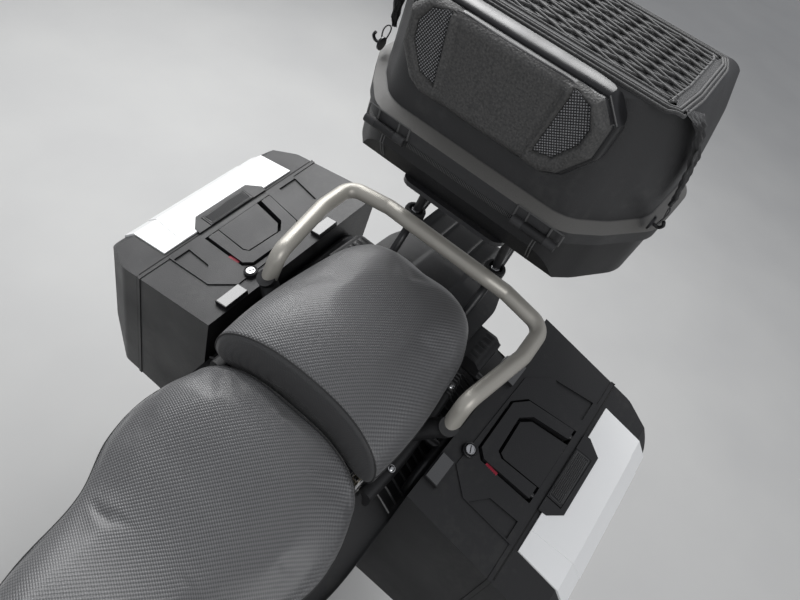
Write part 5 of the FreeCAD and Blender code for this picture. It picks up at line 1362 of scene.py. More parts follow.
def screw(place, axis, radius, height=1.8):
    """A domed screw head with a flat seat."""
    profile = [(0, 0), (0, radius * 1.25), (height * 0.25, radius * 1.25), (height * 0.3, radius),
               (height, radius * 0.8), (height * 1.3, radius * 0.35), (height * 1.1, 0)]
    return turned_grid(place, axis, profile, 18)


def sided(grid, sign):
    """Drawn places of the left side, or their mirror."""
    return drawn(grid * (1, sign, 1))


print("section helpers are ready")

# %% [markdown]
# The stations below are a few measured sections for each part, mirrored to the other side. Lugs on the
# cases get a glossy face, because the photograph shows one catching the light on the right case only.

# %% Side panels, trays and covers
lug_face = rippled("lug_face", (0.035, 0.035, 0.036), 0.16, 0.004, 1, 0.00005, Specular_IOR_Level=1.0,
                   Coat_Weight=1.0, Coat_Roughness=0.08)
FIN_A, FIN_Y, FIN_Z = np.arange(-50, -4, 7.5), np.linspace(146, 154, 7), np.linspace(895, 891, 7)
PANEL = [(-112, 126, 898), (-60, 152, 892), (60, 172, 884), (150, 178, 872), (226, 174, 860)]
TRAY = [(-236, 96, 838, 213, 800), (-100, 130, 832, 213, 792), (100, 140, 826, 213, 780), (215, 140, 800, 214, 768),
        (330, 120, 770, 214, 745), (420, 110, 750, 200, 730)]
COVER = [(226, 150, 795, 150, 690), (330, 150, 800, 150, 640), (450, 118, 815, 128, 625), (560, 96, 830, 112, 650),
         (640, 90, 840, 104, 700)]
LUGS, LUG_HALF, LUG_SIDE = (132.5, -99.5), 24, (213.6, 235.6, 4)
for side, sign in SIDES:
    for what, stations, section, look in (("seat_panel", PANEL, edge_strip, black_plastic),
                                          ("under_tray", TRAY, tray, black_plastic),
                                          ("side_cover", COVER, cover, smooth_plastic)):
        skin(f"{side}_{what}", sided(carried(stations, section), sign), look, "root", slot="black_plastic")
    heads = [screw(drawn((a, sign * y, z)), (0, 0.25 * sign, 1), 5.2)
             for a, y, z in ((-78, 138, 895.5), (-20, 154, 890.5), (170, 167, 871))]
    heads += [screw(drawn((a, sign * y, z)), (0, sign, 0.1), 5.5) for a, y, z in ((300, 160, 720), (520, 118, 735))]
    group(f"{side}_panel_screws", heads, bright_metal, "root", slot="axle_steel")
    fins = []
    for a, y, z in zip(FIN_A, FIN_Y, FIN_Z):
        line = [(a, sign * y, z - 2), (a - 1, sign * (y + 8), z - 3), (a - 2, sign * (y + 13), z - 12)]
        fins.append(tube_grid(drawn(line), 0.0015, 6))
    for a in np.linspace(-150, 190, 18):
        line = [(a, sign * 150, 828), (a + 2, sign * 180, 814), (a + 4, sign * 204, 800)]
        fins.append(tube_grid(drawn(line), 0.0022, 6))
    group(f"{side}_panel_fins", fins, latch_plastic, "root", slot="black_plastic")
    sleeve = path_through([(90, 197.5, 944), (83, 196, 931), (89, 172, 903), (98, 150, 874), (100, 143, 860)], 24)
    skin(f"{side}_rail_foot", sided(tube_grid(sleeve, np.linspace(16.4, 18, 24), 20), sign), black_plastic, "root",
         slot="black_plastic")
    lugs = []
    for middle in LUGS:
        lug_a, lug_y = field((middle - LUG_HALF, middle + LUG_HALF, 6), LUG_SIDE)
        lugs += slab(case_top(lug_a, lug_y, 9.4, sign), case_top(lug_a, lug_y, 8.6, sign))
    group(f"{side}_case_lugs", lugs, lug_face, "root", slot="case_plastic")
print("side panels, trays and covers are in place")

# %% [markdown]
# The hood over the lamp and the rack's deck are gently domed plates with an even wall. A height over a grid
# gives both, with thin ribs pressed in.

# %% Hood, bosses and deck
hood_a, hood_y = field((-84, -258, 44), (-128, 128, 60))
hood_y = hood_y * (1 - 0.12 * step_up(-hood_a, 180, 258))
hood_z = 956 - 14 * np.square(hood_y / 128) - 8 * step_up(-hood_a, 236, 258) - 3 * step_up(np.abs(hood_y), 40, 44)
hood_z -= 8 * np.square((hood_a + 84) / 174)
deck_a, deck_y = field((-166, -262, 30), (-76, 76, 44))
deck_z = 1010 + 9 * step_up(np.abs(deck_y), 60, 76) + 5 * step_up(deck_a, -182, -166)
deck_z += 3.0 * ridge(np.abs(deck_y) - 30, 2.2)
WALL = 3
for name, a, y, z in (("tail_hood", hood_a, hood_y, hood_z), ("rack_deck", deck_a, deck_y, deck_z)):
    group(name, slab(placed(a, y, z), placed(a, y, z - WALL)), black_plastic, "root", slot="black_plastic")
HEAD, WASHER = [(0, 0), (0, 8.5), (6, 8.5), (7, 7.4), (7, 0)], rod(11.5, 0, 1.2)
BOSS = [(0, 0), (0, 16), (4, 19.5), (22, 20), (26, 18.5), (26, 13.5), (18, 12.5), (18, 0)]
for side, sign in SIDES:
    boss = drawn((-167, sign * 90, 1020))
    group(f"{side}_rack_boss", [turned_grid(boss, (0, 0, 1), BOSS, 32)], black_plastic, "root", slot="black_plastic")
    seat_of_bolt = boss + (0, 0, 0.018)
    parts = [turned_grid(seat_of_bolt, (0, 0, 1), HEAD, 6), turned_grid(seat_of_bolt, (0, 0, 1), WASHER, 24)]
    group(f"{side}_rack_bolt", parts, axle_steel, "root", slot="axle_steel", crease=30)
    box_a, box_y = field((-146, -62, 22), (sign * 122, sign * 176, 16))
    ribs = 3.5 * ridge((box_a + 62) % 14 - 7, 2.4) * step_up(-np.abs(np.abs(box_y) - 156), -13, -11)
    shape = 930 - 10 * step_up(np.abs(box_y), 160, 176) + ribs
    group(f"{side}_tail_box", slab(placed(box_a, box_y, shape), placed(box_a, box_y, 902)), black_plastic, "root",
          slot="black_plastic")
print("hood, bosses and deck are in place")

# %% [markdown]
# ## Tyres
# A tyre is a moulded ring: rounded crown, flexing sidewalls and a bead that grips the rim. The tread is cut
# into that crown by slanting grooves that meet in a zigzag. A displacement picture would need a file, so
# the depth is a function of the angle and the distance across, and the ring's points carry it directly.

# %% Tread as a function
def tyre_section(radius, bead, width, count):
    """Half of a tyre's outline from the crown's middle to the bead: radius and distance to the side."""
    crown, wall = radius - 0.30 * width, radius - bead
    t = np.linspace(0, 1, count)
    points = [(radius, 0), (radius - 0.025 * width, 0.2 * width), (radius - 0.12 * width, 0.38 * width),
              (radius - 0.26 * width, 0.485 * width), (crown - 0.16 * wall, 0.5 * width),
              (bead + 0.30 * wall, 0.465 * width), (bead + 0.06 * wall, 0.36 * width), (bead + 1, 0.33 * width)]
    return path_through(np.array(points, float), count).T


def groove_depth(angle, across, half, pitches):
    """Depth of slanting grooves, a zigzag along the middle, and slots at the shoulders, in shares of 1."""
    step = 2 * np.pi / pitches
    side = across / half
    lean = angle / step + 0.85 * np.abs(side) + 0.5 * (side > 0)
    wave = np.abs((lean % 1) - 0.5)
    slanting = step_up(wave, 0.36, 0.42) * step_up(np.abs(side), 0.10, 0.16)
    second = step_up(np.abs(((lean + 0.5) % 1) - 0.5), 0.40, 0.45) * step_up(np.abs(side), 0.5, 0.56)
    zigzag = 0.05 * np.sin(angle * pitches * 2)
    middle = step_up(-np.abs(side - zigzag), -0.085, -0.05)
    rings = step_up(-np.abs(np.abs(side) - 0.52 - 0.6 * zigzag), -0.05, -0.025)
    return np.clip(np.maximum(np.maximum(slanting, second), np.maximum(middle, rings * 0.8)), 0, 1)


GROOVE, STEPS_ROUND = 6.0, 1081


def tyre(name, old, centre, radius, bead, width, pitches, body):
    """A closed ring whose crown is cut by the groove pattern."""
    ring_radius, side = tyre_section(radius, bead, width, 30)
    ring_radius = np.concatenate([ring_radius[:0:-1], ring_radius])
    side = np.concatenate([-side[:0:-1], side])
    angle = np.linspace(0, 2 * np.pi, STEPS_ROUND)
    crown = step_up(ring_radius, radius - 0.30 * width, radius - 0.22 * width)
    cut = GROOVE * crown[:, None] * groove_depth(angle[None], side[:, None], 0.5 * width, pitches)
    above = ring_radius - bead
    ribs = 0.7 * ridge(above - 13, 1.6) + 0.6 * ridge(above - 19, 1.2)
    side_cut = 1.2 * ridge(above - 42, 7)[:, None] * (np.abs((angle * 36 / np.pi) % 1 - 0.5) < 0.3)
    reach = ring_radius[:, None] - cut
    out = side[:, None] * (1 + (ribs[:, None] - side_cut) / width)
    lining = np.stack([np.full(4, bead - 1.0) + [6, 14, 14, 6], 0.5 * width * np.array([0.5, 0.4, -0.4, -0.5])], -1)
    reach = np.concatenate([reach, np.repeat(lining[:, :1], len(angle), 1), reach[:1]])
    out = np.concatenate([out, np.repeat(lining[:, 1:], len(angle), 1), out[:1]])
    places = np.stack([reach * np.sin(angle), out + 0 * angle, reach * np.cos(angle)], -1) / 1000 + centre
    thing = skin(name, places, rubber, body, slot="tyre_rubber", crease=50)
    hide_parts(old)
    return thing


for piece in (tyre("front_road_tyre", "front_tyre", FRONT_AXLE, 329, 243, 110, 60, "front_wheel"),
              tyre("rear_road_tyre", "rear_tyre", BACK_AXLE, 321, 218, 150, 54, "rear_wheel")):
    print(piece.name, len(piece.data.polygons), "faces")

# %% [markdown]
# ## Chain
# A roller chain is a row of pairs of waisted plates on rollers. The CAD keeps one smooth loop. Here each
# link is placed along the two tangents and arcs, one pitch after another, turned to the path.

# %% Chain links
PITCH, CHAIN_SIDE = 15.875, 92
BIG, SMALL = np.array([0, 336, 106.0]), np.array([634, 430, 43.0])
OUTER_PLATES, INNER_PLATES = 8.0, 5.6
PLATE_HALF, PLATE_ROUND, PLATE_HIGH = 0.9, 6.6, 6.9


def chain_path(count):
    """Places evenly along the closed loop round both sprockets, and the loop's length."""
    between = SMALL[:2] - BIG[:2]
    heading = math.atan2(between[1], between[0])
    lean = math.asin((BIG[2] - SMALL[2]) / np.linalg.norm(between))
    top, bottom = heading + math.pi / 2 - lean, heading - math.pi / 2 + lean
    front = np.linspace(top, bottom, 60)
    back = np.linspace(bottom, top - 2 * math.pi, 120)
    points = np.concatenate([SMALL[:2] + SMALL[2] * np.stack([np.cos(front), np.sin(front)], -1),
                             BIG[:2] + BIG[2] * np.stack([np.cos(back), np.sin(back)], -1)])
    points = np.concatenate([points, points[:1]])
    reach = reach_along(points)
    at = np.arange(count) * reach[-1] / count
    places = np.stack([np.interp(at, reach, points[:, k]) for k in (0, 1)], -1)
    return places, reach[-1]


def plate_outline(count=18):
    """A waisted figure of eight, one pitch between its holes."""
    turn = np.linspace(0, 2 * np.pi, count, endpoint=False)
    x = (PITCH / 2 + PLATE_ROUND) * np.cos(turn)
    waist = 1 - 0.30 * ridge(x, 3.6)
    return np.stack([x, PLATE_HIGH * np.sign(np.sin(turn)) * np.abs(np.sin(turn)) ** 0.6 * waist], -1)


_, chain_length = chain_path(10)
link_count = 2 * round(chain_length / PITCH / 2)
link_places, _ = chain_path(link_count)
following = np.roll(link_places, -1, 0)
middles, headings = (link_places + following) / 2, unit(following - link_places)
outline = plate_outline()
flat_sides = np.stack([np.insert(outline, 1, y, 1) for y in (-PLATE_HALF, PLATE_HALF)])
shut_ends = flat_sides.mean(1, keepdims=True) + 0 * flat_sides
shape = np.concatenate([shut_ends[:1], flat_sides, shut_ends[1:]])
shape = np.concatenate([shape, shape[:, :1]], 1) / 1000
links = []
for which, offset in ((0, OUTER_PLATES), (0, -OUTER_PLATES), (1, INNER_PLATES), (1, -INNER_PLATES)):
    chosen = slice(which, None, 2)
    along = np.insert(headings[chosen], 1, 0, 1)
    spots = placed(middles[chosen, 0], CHAIN_SIDE + offset, middles[chosen, 1])
    turns = np.stack([along, 0 * along + (0, 1, 0), np.cross(along, (0, 1, 0))], -2)
    links.extend(np.einsum("rck,nkx->nrcx", shape, turns) + spots[:, None, None])
for a, z in link_places:
    pin = drawn((a, CHAIN_SIDE, z))
    links.append(turned_grid(pin, (0, 1, 0), rod(2.6, -9.5, 9.5), 8))
    links.append(turned_grid(pin, (0, 1, 0), rod(5, -4.8, 4.8), 10))
chain = group("chain_links", links, chain_steel, "root", slot="chain_steel")
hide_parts("chain")
print(link_count, "links in", round(chain_length), "mm")

# %% [markdown]
# ## Wheels and brakes
# Brake discs are drilled, their carriers are bolted to the hub, and axles end in nuts. Drilling the CAD
# discs would need a boolean for each hole. At this size a countersunk eyelet on the outer face reads the
# same, its sunk face near black as painted shade for the open hole, so holes, bolts and nuts are all small
# turned shapes set out round the axle.

# %% Shapes set out round an axle
def circle(radius, count, first, second, twist=0.0):
    """Evenly spaced places in a circle, from two directions square to its axis."""
    turn = twist + np.arange(count)[:, None] * 2 * np.pi / count
    return radius * (np.sin(turn) * np.asarray(first) + np.cos(turn) * np.asarray(second))


def round_axle(centre, radius, count, side, twist=0.0):
    """Places in a circle round a wheel's axle, at a distance to the side, in millimetres."""
    return centre + (circle(radius, count, (1, 0, 0), (0, 0, 1), twist) + (0, side, 0)) / 1000


def eyelet(place, facing, radius):
    """A countersunk hole seen from outside: a thin lip round a sunk dark face."""
    profile = [(-0.4, 0), (-0.4, radius), (0.3, radius * 1.12), (-0.1, radius * 0.8), (-0.1, 0)]
    return turned_grid(place, facing, profile, 10)


def bolt(place, facing, radius, height=0.0):
    """A hexagon head on its flange."""
    height = height or radius * 0.9
    profile = [(-0.3, 0), (-0.3, radius * 1.3), (0.9, radius * 1.3), (1.1, radius), (height, radius),
               (height * 1.12, radius * 0.86), (height * 1.12, 0)]
    return turned_grid(place, facing, profile, 6)


# The holes' near-black face is painted shade, standing in for the open hole through the disc.
hole_shade = rippled("drilled_hole", (0.006, 0.006, 0.006), 0.6, 0.001, 1, 0.00005)
DISC_BOLT = [(0, 0), (0, 7.5), (1.2, 7.8), (2.2, 6), (2.2, 3), (1, 3), (1, 0)]
VALVE = [(0, 0), (0, 3.5), (10, 3.5), (11, 2.8), (26, 2.8), (26, 0)]
DISC_HALF, HOLE_RADIUS = 2.55, 2.9
for wheel, centre, discs, body in (("front", FRONT_AXLE, ((62, 152), (-62, 152)), "front_wheel"),
                                   ("rear", BACK_AXLE, ((-92, 132),), "rear_wheel")):
    holes, heads = [], []
    for offset, radius in discs:
        facing = np.sign(offset)
        face = offset + facing * DISC_HALF
        for row, inset in enumerate((8, 16, 24)):
            holes += [eyelet(place, (0, facing, 0), HOLE_RADIUS)
                      for place in round_axle(centre, radius - inset, 18, face, row * 0.11)]
        heads += [turned_grid(place, (0, facing, 0), DISC_BOLT, 20)
                  for place in round_axle(centre, radius - 38, 6, face)]
        heads += [bolt(place, (0, facing, 0), 4.2) for place in round_axle(centre, 33, 6, face, 0.5)]
    group(f"{wheel}_disc_holes", holes, hole_shade, body, slot="disc_steel")
    group(f"{wheel}_disc_bolts", heads, axle_steel, body, slot="axle_steel", crease=30)
    valve = centre + np.array([0, 0.010, -(0.232 if wheel == "front" else 0.207)])
    skin(f"{wheel}_valve", turned_grid(valve, (0, 0.35, 1), VALVE, 14), gasket, body, slot="tyre_rubber")
print("discs are drilled and bolted")

# %% [markdown]
# Four bolts hold each caliper, a hose runs up to it, and nuts end the rear axle. The hoses ride on the
# steering, so they follow it all the way to the yokes.

# %% Calipers, hoses and axle nuts
brake_paint = grained("brake_paint", (0.05, 0.05, 0.052), 0.35, 0.0012, 0.0001, metal=0.3)
hose_rubber = rippled("hose_rubber", (0.012, 0.012, 0.012), 0.55, 0.0014, 2, 0.0001)
PISTON_CAP = [(0, 0), (0, 12.5), (1.6, 12.5), (2.2, 11), (1.2, 9), (1.2, 0)]
HOSE_ROUTE = ((108, -70, 76), (170, -88, 84), (290, -46, 118), (400, 16, 126), (520, 58, 122), (640, 66, 104),
              (760, 66, 88))
for side, sign in SIDES:
    heads = [bolt(steered(up, ahead, sign * 88), (0, sign, 0), 5.2) for ahead in (-18, -66) for up in (64, 112)]
    heads += [turned_grid(steered(up, -44, sign * 87.5), (0, sign, 0), PISTON_CAP, 24) for up in (74, 102)]
    group(f"{side}_caliper_bolts", heads, axle_steel, "steering", slot="axle_steel", crease=30)
    hose = path_through([steered(up, ahead, sign * aside) for up, ahead, aside in HOSE_ROUTE], 70)
    skin(f"{side}_brake_hose", tube_grid(hose, 0.0035, 10), hose_rubber, "steering", slot="frame_paint")
    clips = [turned_grid(hose[k], hose[k + 1] - hose[k - 1], rod(5.2, -5, 5), 12) for k in (10, 28, 44, 58)]
    group(f"{side}_hose_clips", clips, smooth_plastic, "steering", slot="black_plastic")
nuts = [bolt(BACK_AXLE + (0, sign * 0.171, 0), (0, sign, 0), 15, 9) for _, sign in SIDES]
group("rear_axle_nuts", nuts, axle_steel, "root", slot="axle_steel", crease=30)
print("calipers have bolts and hoses")

# %% [markdown]
# ## Rear suspension
# The spring is a true helix round its damper: a circle swept along a coil. The CAD shows it as stacked
# rings, which would look like ribs, so the whole unit is rebuilt here on the same two pins.

# %% Spring and damper
SHOCK_TOP, SHOCK_FOOT = drawn((470, 0, 598)), drawn((408, 0, 424))
shock_axis = unit(SHOCK_TOP - SHOCK_FOOT)
spring_paint = rippled("spring_paint", (0.03, 0.03, 0.032), 0.3, 0.002, 1, 0.00005, Coat_Weight=0.3)
TURNS, COIL_RADIUS = 6.5, 0.0275
turn = np.linspace(0, 2 * np.pi * TURNS, 260)
aside = unit(np.cross(shock_axis, (0, 1, 0)))
climb = np.interp(turn, [0, 2 * np.pi, 2 * np.pi * (TURNS - 1), turn[-1]], [0.040, 0.047, 0.133, 0.140])
coil = SHOCK_FOOT + climb[:, None] * shock_axis
coil += COIL_RADIUS * (np.cos(turn)[:, None] * aside + np.sin(turn)[:, None] * np.array([0, 1.0, 0]))
DAMPER = [(0, 0), (0, 12), (26, 12), (26, 34), (35, 34), (36, 18.5), (90, 18.5), (91, 8.5), (141, 8.5), (142, 34),
          (151, 34), (152, 16), (180, 16), (180, 0)]
pins = [turned_grid(SHOCK_TOP, (0, 1, 0), rod(9, -116, 116), 20),
        turned_grid(SHOCK_FOOT, (0, 1, 0), rod(16, -20, 20), 24)]
skin("shock_spring", tube_grid(coil, 0.0050, 12), spring_paint, "root", slot="frame_paint")
shock = group("shock_body", [turned_grid(SHOCK_FOOT, shock_axis, DAMPER, 32), *pins], fork_metal, "root",
              slot="fork_metal")
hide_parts("rear_shock")
print("the spring has", turn[-1] / 2 / np.pi, "turns")

# %% [markdown]
# ## Cockpit
# The rider touches ribbed rubber grips, reads one screen and looks into two mirrors. Cables and hoses run
# from the levers to the yokes. Each is placed from the handlebar's own line, so all of it turns with the
# steering.

# %% Grips, mirrors and controls
BAR_MIDDLE = steered(902, 12)
grip_rubber = grained("grip_rubber", (0.010, 0.010, 0.010), 0.66, 0.0012, 0.0002)
mirror_face = rippled("mirror_face", (0.80, 0.82, 0.84), 0.03, 0.4, 0, 0.00002, 1.0)
amber = rippled("amber_lens", (0.75, 0.22, 0.01), 0.2, 0.0025, 0, 0.0003, Coat_Weight=0.5)
GRIP = [(2, 0), (2, 17.8), (6, 19.5), (9, 18)]
for start in 10 + 3.9 * np.arange(26):
    GRIP += [(start, 17.6), (start + 0.6, 18.8), (start + 2.6, 18.8), (start + 3.2, 17.6)]
GRIP += [(113, 18.5), (118, 20.5), (123, 20.5), (125, 17.5), (125, 0)]
SWITCH_BOX = [(-16, 0), (-16, 18.5), (-14, 20.5), (14, 20.5), (16, 18.5), (16, 0)]
PUSH_KEY = [(0, 0), (0, 4.2), (3, 4), (3.6, 3), (3.6, 0)]
MIRROR = np.array([(-72, -30), (-60, 42), (62, 46), (76, -20), (50, -44)]) * (0.90, 0.86)
mirror_loop = loop_places(MIRROR, 60, 9) / 1000
mirror_flat = np.array([1.0, 0.98, 0.6, 0.3, 0.0])[:, None, None] * np.concatenate([mirror_loop, mirror_loop[:1]])
mirror_lift = np.array([0.0, 0.0007, 0.0011, 0.0014, 0.0015])[:, None] + 0 * mirror_flat[..., 0]
for side, sign in SIDES:
    end = BAR_MIDDLE + np.array([-0.100, sign * 0.425, 0.022])
    inner = BAR_MIDDLE + np.array([-0.034, sign * 0.195, 0.042])
    along = unit(inner - end)
    skin(f"{side}_grip", turned_grid(end, along, GRIP, 28), grip_rubber, "steering", slot="black_plastic", crease=50)
    perch = end + along * 0.150
    lid = perch + np.array([0.023, -sign * 0.011, 0.0345])
    heads = [screw(lid + (dx, dy, 0), (0, 0, 1), 3) for dx in (-0.014, 0.014) for dy in (-0.016, 0.016)]
    heads.append(bolt(perch + along * 0.013 + np.array([-0.016, 0, 0]), (-1, 0, 0), 4))
    group(f"{side}_control_screws", heads, axle_steel, "steering", slot="axle_steel")
    switch = perch + along * 0.045
    keys = [turned_grid(switch, along, SWITCH_BOX, 24)]
    keys += [turned_grid(switch + (back, 0, up), (-1, 0, up * 20), PUSH_KEY, 16)
             for up, back in ((0.012, -0.019), (0.001, -0.021), (-0.010, -0.019))]
    group(f"{side}_switches", keys, latch_plastic, "steering", slot="black_plastic")
    middle = perch + np.array([0.014, sign * 0.100, 0.170])
    glass = middle + np.stack([-0.0082 - mirror_lift, sign * mirror_flat[..., 0], mirror_flat[..., 1]], -1)
    skin(f"{side}_mirror_face", glass, mirror_face, "steering", slot="axle_steel")
    line = [perch + np.array([0.020, -sign * 0.030, 0.004]), perch + np.array([0.085, -sign * 0.075, 0.006]),
            steered(880, 78, sign * 98), steered(820, 72, sign * 92), steered(760, 66, sign * 88)]
    skin(f"{side}_lever_hose", tube_grid(path_through(line, 60), 0.0036, 10), hose_rubber, "steering",
         slot="frame_paint")
print("grips, mirrors and controls are on")

# %% [markdown]
# The screen, the lamp and the clear windscreen stay with the frame when the handlebar turns. The screen is
# dark glass in a raised bezel, and the bezel's height is worked out from the distance to its edge, as the
# pad's is.

# %% Instrument screen
display = rippled("display_glass", (0.008, 0.009, 0.011), 0.08, 0.3, 0, 0.00002, Coat_Weight=1.0, Coat_Roughness=0.03)
lamp_lens = rippled("lamp_lens", (0.62, 0.66, 0.70), 0.06, 0.006, 1, 0.0002, 0.2, Coat_Weight=1.0)
day_light = rippled("day_light", (0.9, 0.92, 0.95), 0.25, 0.002, 0, 0.0002, Coat_Weight=0.6)
FACE_LOW, FACE_HIGH = np.array([1222.0, 1146.0]), np.array([1236.0, 1226.0])
FACE_OUT = np.array([-0.985, 0.172])
DASH_LIGHT = [(0, 0), (0, 2.6), (0.8, 2.4), (1.1, 0)]
LAMP_LENS = [(0, 0), (0, 26.5), (6, 25.5), (13, 21), (18, 12), (19.5, 0)]
LAMP_RING = [(0, 27), (7, 29), (9, 32), (7, 35), (0, 36), (0, 27)]
SCREEN_SCREW = [(0, 0), (0, 8.5), (1.4, 8.5), (1.6, 5.5), (3.6, 4.6), (3.6, 2.4), (2.2, 2.2), (2.2, 0)]


def on_dash(up, y, lift):
    """A place on the face that the rider sees: a share of its height, across and out from it."""
    up, y, lift = np.broadcast_arrays(np.asarray(up, float), np.asarray(y, float), np.asarray(lift, float))
    flat = FACE_LOW + up[..., None] * (FACE_HIGH - FACE_LOW) + lift[..., None] * FACE_OUT
    return drawn(np.stack([flat[..., 0], y, flat[..., 1]], -1))


share_y, share_up = field((-1, 1, 31), (0, 1, 21))
edge = np.minimum(1 - np.abs(share_y), np.minimum(share_up, 1 - share_up) * 1.2)
bezel = 3.4 * quarter_round(edge, 0.07) - 2.2 * step_up(edge, 0.12, 0.15)
on_bezel = share_up * 0.9 + 0.05, share_y * 82
group("dash_bezel", slab(on_dash(*on_bezel, bezel), on_dash(*on_bezel, -0.5)), smooth_plastic, "root",
      slot="black_plastic")
screen_y, screen_up = field((-66, 66, 12), (0.18, 0.82, 9))
skin("dash_screen", on_dash(screen_up, screen_y, 1.5), display, "root", slot="black_plastic")
lights = [turned_grid(on_dash(0.5 + k * 0.12, sign * 73, 1.0), (FACE_OUT[0], 0, FACE_OUT[1]), DASH_LIGHT, 14)
          for k in range(-2, 3) for _, sign in SIDES]
group("dash_lights", lights, latch_plastic, "root", slot="black_plastic")
print("the dash has its screen and lights")

# %% [markdown]
# A headlamp looks deep because its lenses stand behind a flat glass. Two projector lenses are turned as bolts
# are, each in a bright ring, and a pale bent bar on each side is the daytime light.

# %% Lamp
lamp_places = drawn([(1428, -44, 944), (1428, 44, 944)])
lamp_pieces, ring_pieces = ([turned_grid(place, (1, 0, 0), profile, 40) for place in lamp_places]
                            for profile in (LAMP_LENS, LAMP_RING))
group("lamp_lenses", lamp_pieces, lamp_lens, "root", slot="lamp_glass", crease=60)
group("lamp_rings", ring_pieces, bright_metal, "root", slot="axle_steel")
BAR = np.array([(1429, 6, 977), (1431, 30, 979), (1431, 60, 975), (1429, 80, 962)])
bars = [tube_grid(sided(BAR, sign), 0.0032, 10) for _, sign in SIDES]
group("day_lights", bars, day_light, "root", slot="lamp_glass")
print(len(lamp_pieces), "lenses are in the lamp")

# %% [markdown]
# The windscreen is held by rubber-topped screws and has a rolled upper edge. Its outer face is a leaning
# cylinder, so the place and the direction of each screw can be worked out instead of measured.

# %% Windscreen fixings
SCREEN_RADIUS, SCREEN_FOOT, SCREEN_LEAN = 420, np.array([924, 0, 900]), unit([-0.30, 0, 1])


def on_screen(y, z, lift):
    """A place on the curved windscreen, a leaning cylinder's outer face, and the direction out from it."""
    out = np.array([SCREEN_LEAN[2], 0, -SCREEN_LEAN[0]])
    reach = math.sqrt((SCREEN_RADIUS + lift) ** 2 - y**2)
    along = (z - SCREEN_FOOT[2] - out[2] * reach) / SCREEN_LEAN[2]
    middle = SCREEN_FOOT + SCREEN_LEAN * along
    return drawn(middle + out * reach + (0, y, 0)), unit(out * reach + (0, y, 0))


heads = []
for y in (-128, -60, 60, 128):
    for z in (1112, 1168):
        heads.append(turned_grid(*on_screen(y, z, 0.2), SCREEN_SCREW, 20))
group("screen_screws", heads, smooth_plastic, "root", slot="black_plastic")
line = [on_screen(y, 1370, 0.6)[0] for y in np.linspace(-108, 108, 40)]
skin("screen_edge", tube_grid(line, 0.0016, 8), smooth_plastic, "root", slot="black_plastic")
print(len(heads), "screws hold the windscreen")

# %% [markdown]
# A ring of small bolts holds the filler cap, and a flap covers its lock. The fairings carry amber indicators
# and a row of screws along their edges.

# %% Tank cap, indicators and fairing screws
CAP = [(-1, 0), (-1, 41.5), (1.6, 41.5), (3, 39.5), (3, 30), (1.8, 29), (1.8, 27), (3.6, 25.5), (4.2, 0)]
CAP_BOLT = [(0, 0), (0, 2.8), (1.4, 2.8), (1.4, 1.4), (0.6, 1.3), (0.6, 0)]
KEY_FLAP = [(0, 0), (0, 11.5), (1.6, 11), (2.2, 9), (2.2, 0)]
INDICATOR = [(-20, 0), (-20, 12), (-10, 16), (14, 16.5), (17, 16.5)]
INDICATOR_LENS = [(17, 16.5), (24, 13), (27, 6), (28, 0)]
FAIRING_BOSS = [(-2, 0), (-2, 10.5), (1.2, 10.5), (2.2, 8), (1.2, 4.5), (1.2, 0)]
FAIRING_SCREW = [(-2, 0), (-2, 6.5), (0.8, 6.2), (1.4, 4), (0.6, 2.5), (0.6, 0)]
FAIRING_LEAN = 0.19
cap = drawn((930, 0, 1066))
skin("tank_cap", turned_grid(cap, (0, 0, 1), CAP, 56), brake_paint, "root", slot="black_plastic")
cap_bolts = [turned_grid(cap + (*place, 0.003), (0, 0, 1), CAP_BOLT, 12)
             for place in circle(0.0348, 7, (1, 0), (0, 1))]
group("tank_cap_bolts", cap_bolts, axle_steel, "root", slot="axle_steel")
flap = turned_grid(cap + (0.006, 0, 0.0040), (0, 0, 1), KEY_FLAP, 30)
skin("tank_key_flap", flap, bright_metal, "root", slot="axle_steel")
for side, sign in SIDES:
    stalk = path_through(drawn([(1120, sign * 214, 900), (1124, sign * 232, 903), (1128, sign * 246, 905)]), 12)
    shell, lens = (turned_grid(drawn((1120, sign * 262, 906)), (1, 0, 0.1), profile, 24)
                   for profile in (INDICATOR, INDICATOR_LENS))
    body = [tube_grid(stalk, 0.0065, 12), shell]
    group(f"{side}_indicator_body", body, smooth_plastic, "root", slot="black_plastic")
    skin(f"{side}_indicator_lens", lens, amber, "root", slot="red_lens")
    outward_of_fairing = (-FAIRING_LEAN, sign, 0)
    heads = [turned_grid(drawn((985, sign * 195.5, 930)), outward_of_fairing, FAIRING_BOSS, 24)]
    for a, z in ((1090, 985), (1120, 720), (1012, 662), (905, 770), (892, 868)):
        place = drawn((a, sign * (174.5 + (a - 872) * FAIRING_LEAN), z))
        heads.append(turned_grid(place, outward_of_fairing, FAIRING_SCREW, 18))
    group(f"{side}_fairing_screws", heads, brake_paint, "root", slot="axle_steel")
print("tank cap, indicators and fairing screws are on")

# %% [markdown]
# ## Engine and cooling
# Side covers are held by rings of bolts, hoses join the radiator to the head, and a guard of thin slats
# covers the radiator's fins. All of these are the same few shapes set out in circles or along lines.

# %% Engine bolts and plug caps
COVERS = [(868, 396, 73, 9, 180.2), (868, 396, 50, 6, 188.2), (838, 402, 91, 11, -184.2), (838, 402, 68, 7, -194.2),
          (702, 420, 44, 5, -166.2)]
cover_bolts = []
for a, z, radius, count, side in COVERS:
    facing = (0, np.sign(side), 0)
    cover_bolts += [bolt(place, facing, 4.2) for place in round_axle(drawn((a, 0, z)), radius, count, side, 0.3)]
cover_bolts.append(bolt(drawn((868, 188.4, 396)), (0, 1, 0), 12, 6))
cover_bolts.append(bolt(drawn((838, -194.4, 402)), (0, -1, 0), 10, 6))
LEAN = math.radians(20)
HEAD_UP, HEAD_AHEAD = np.array([math.sin(LEAN), 0, math.cos(LEAN)]), np.array([math.cos(LEAN), 0, -math.sin(LEAN)])


HEAD_FOOT = np.array([842, 0, 506])


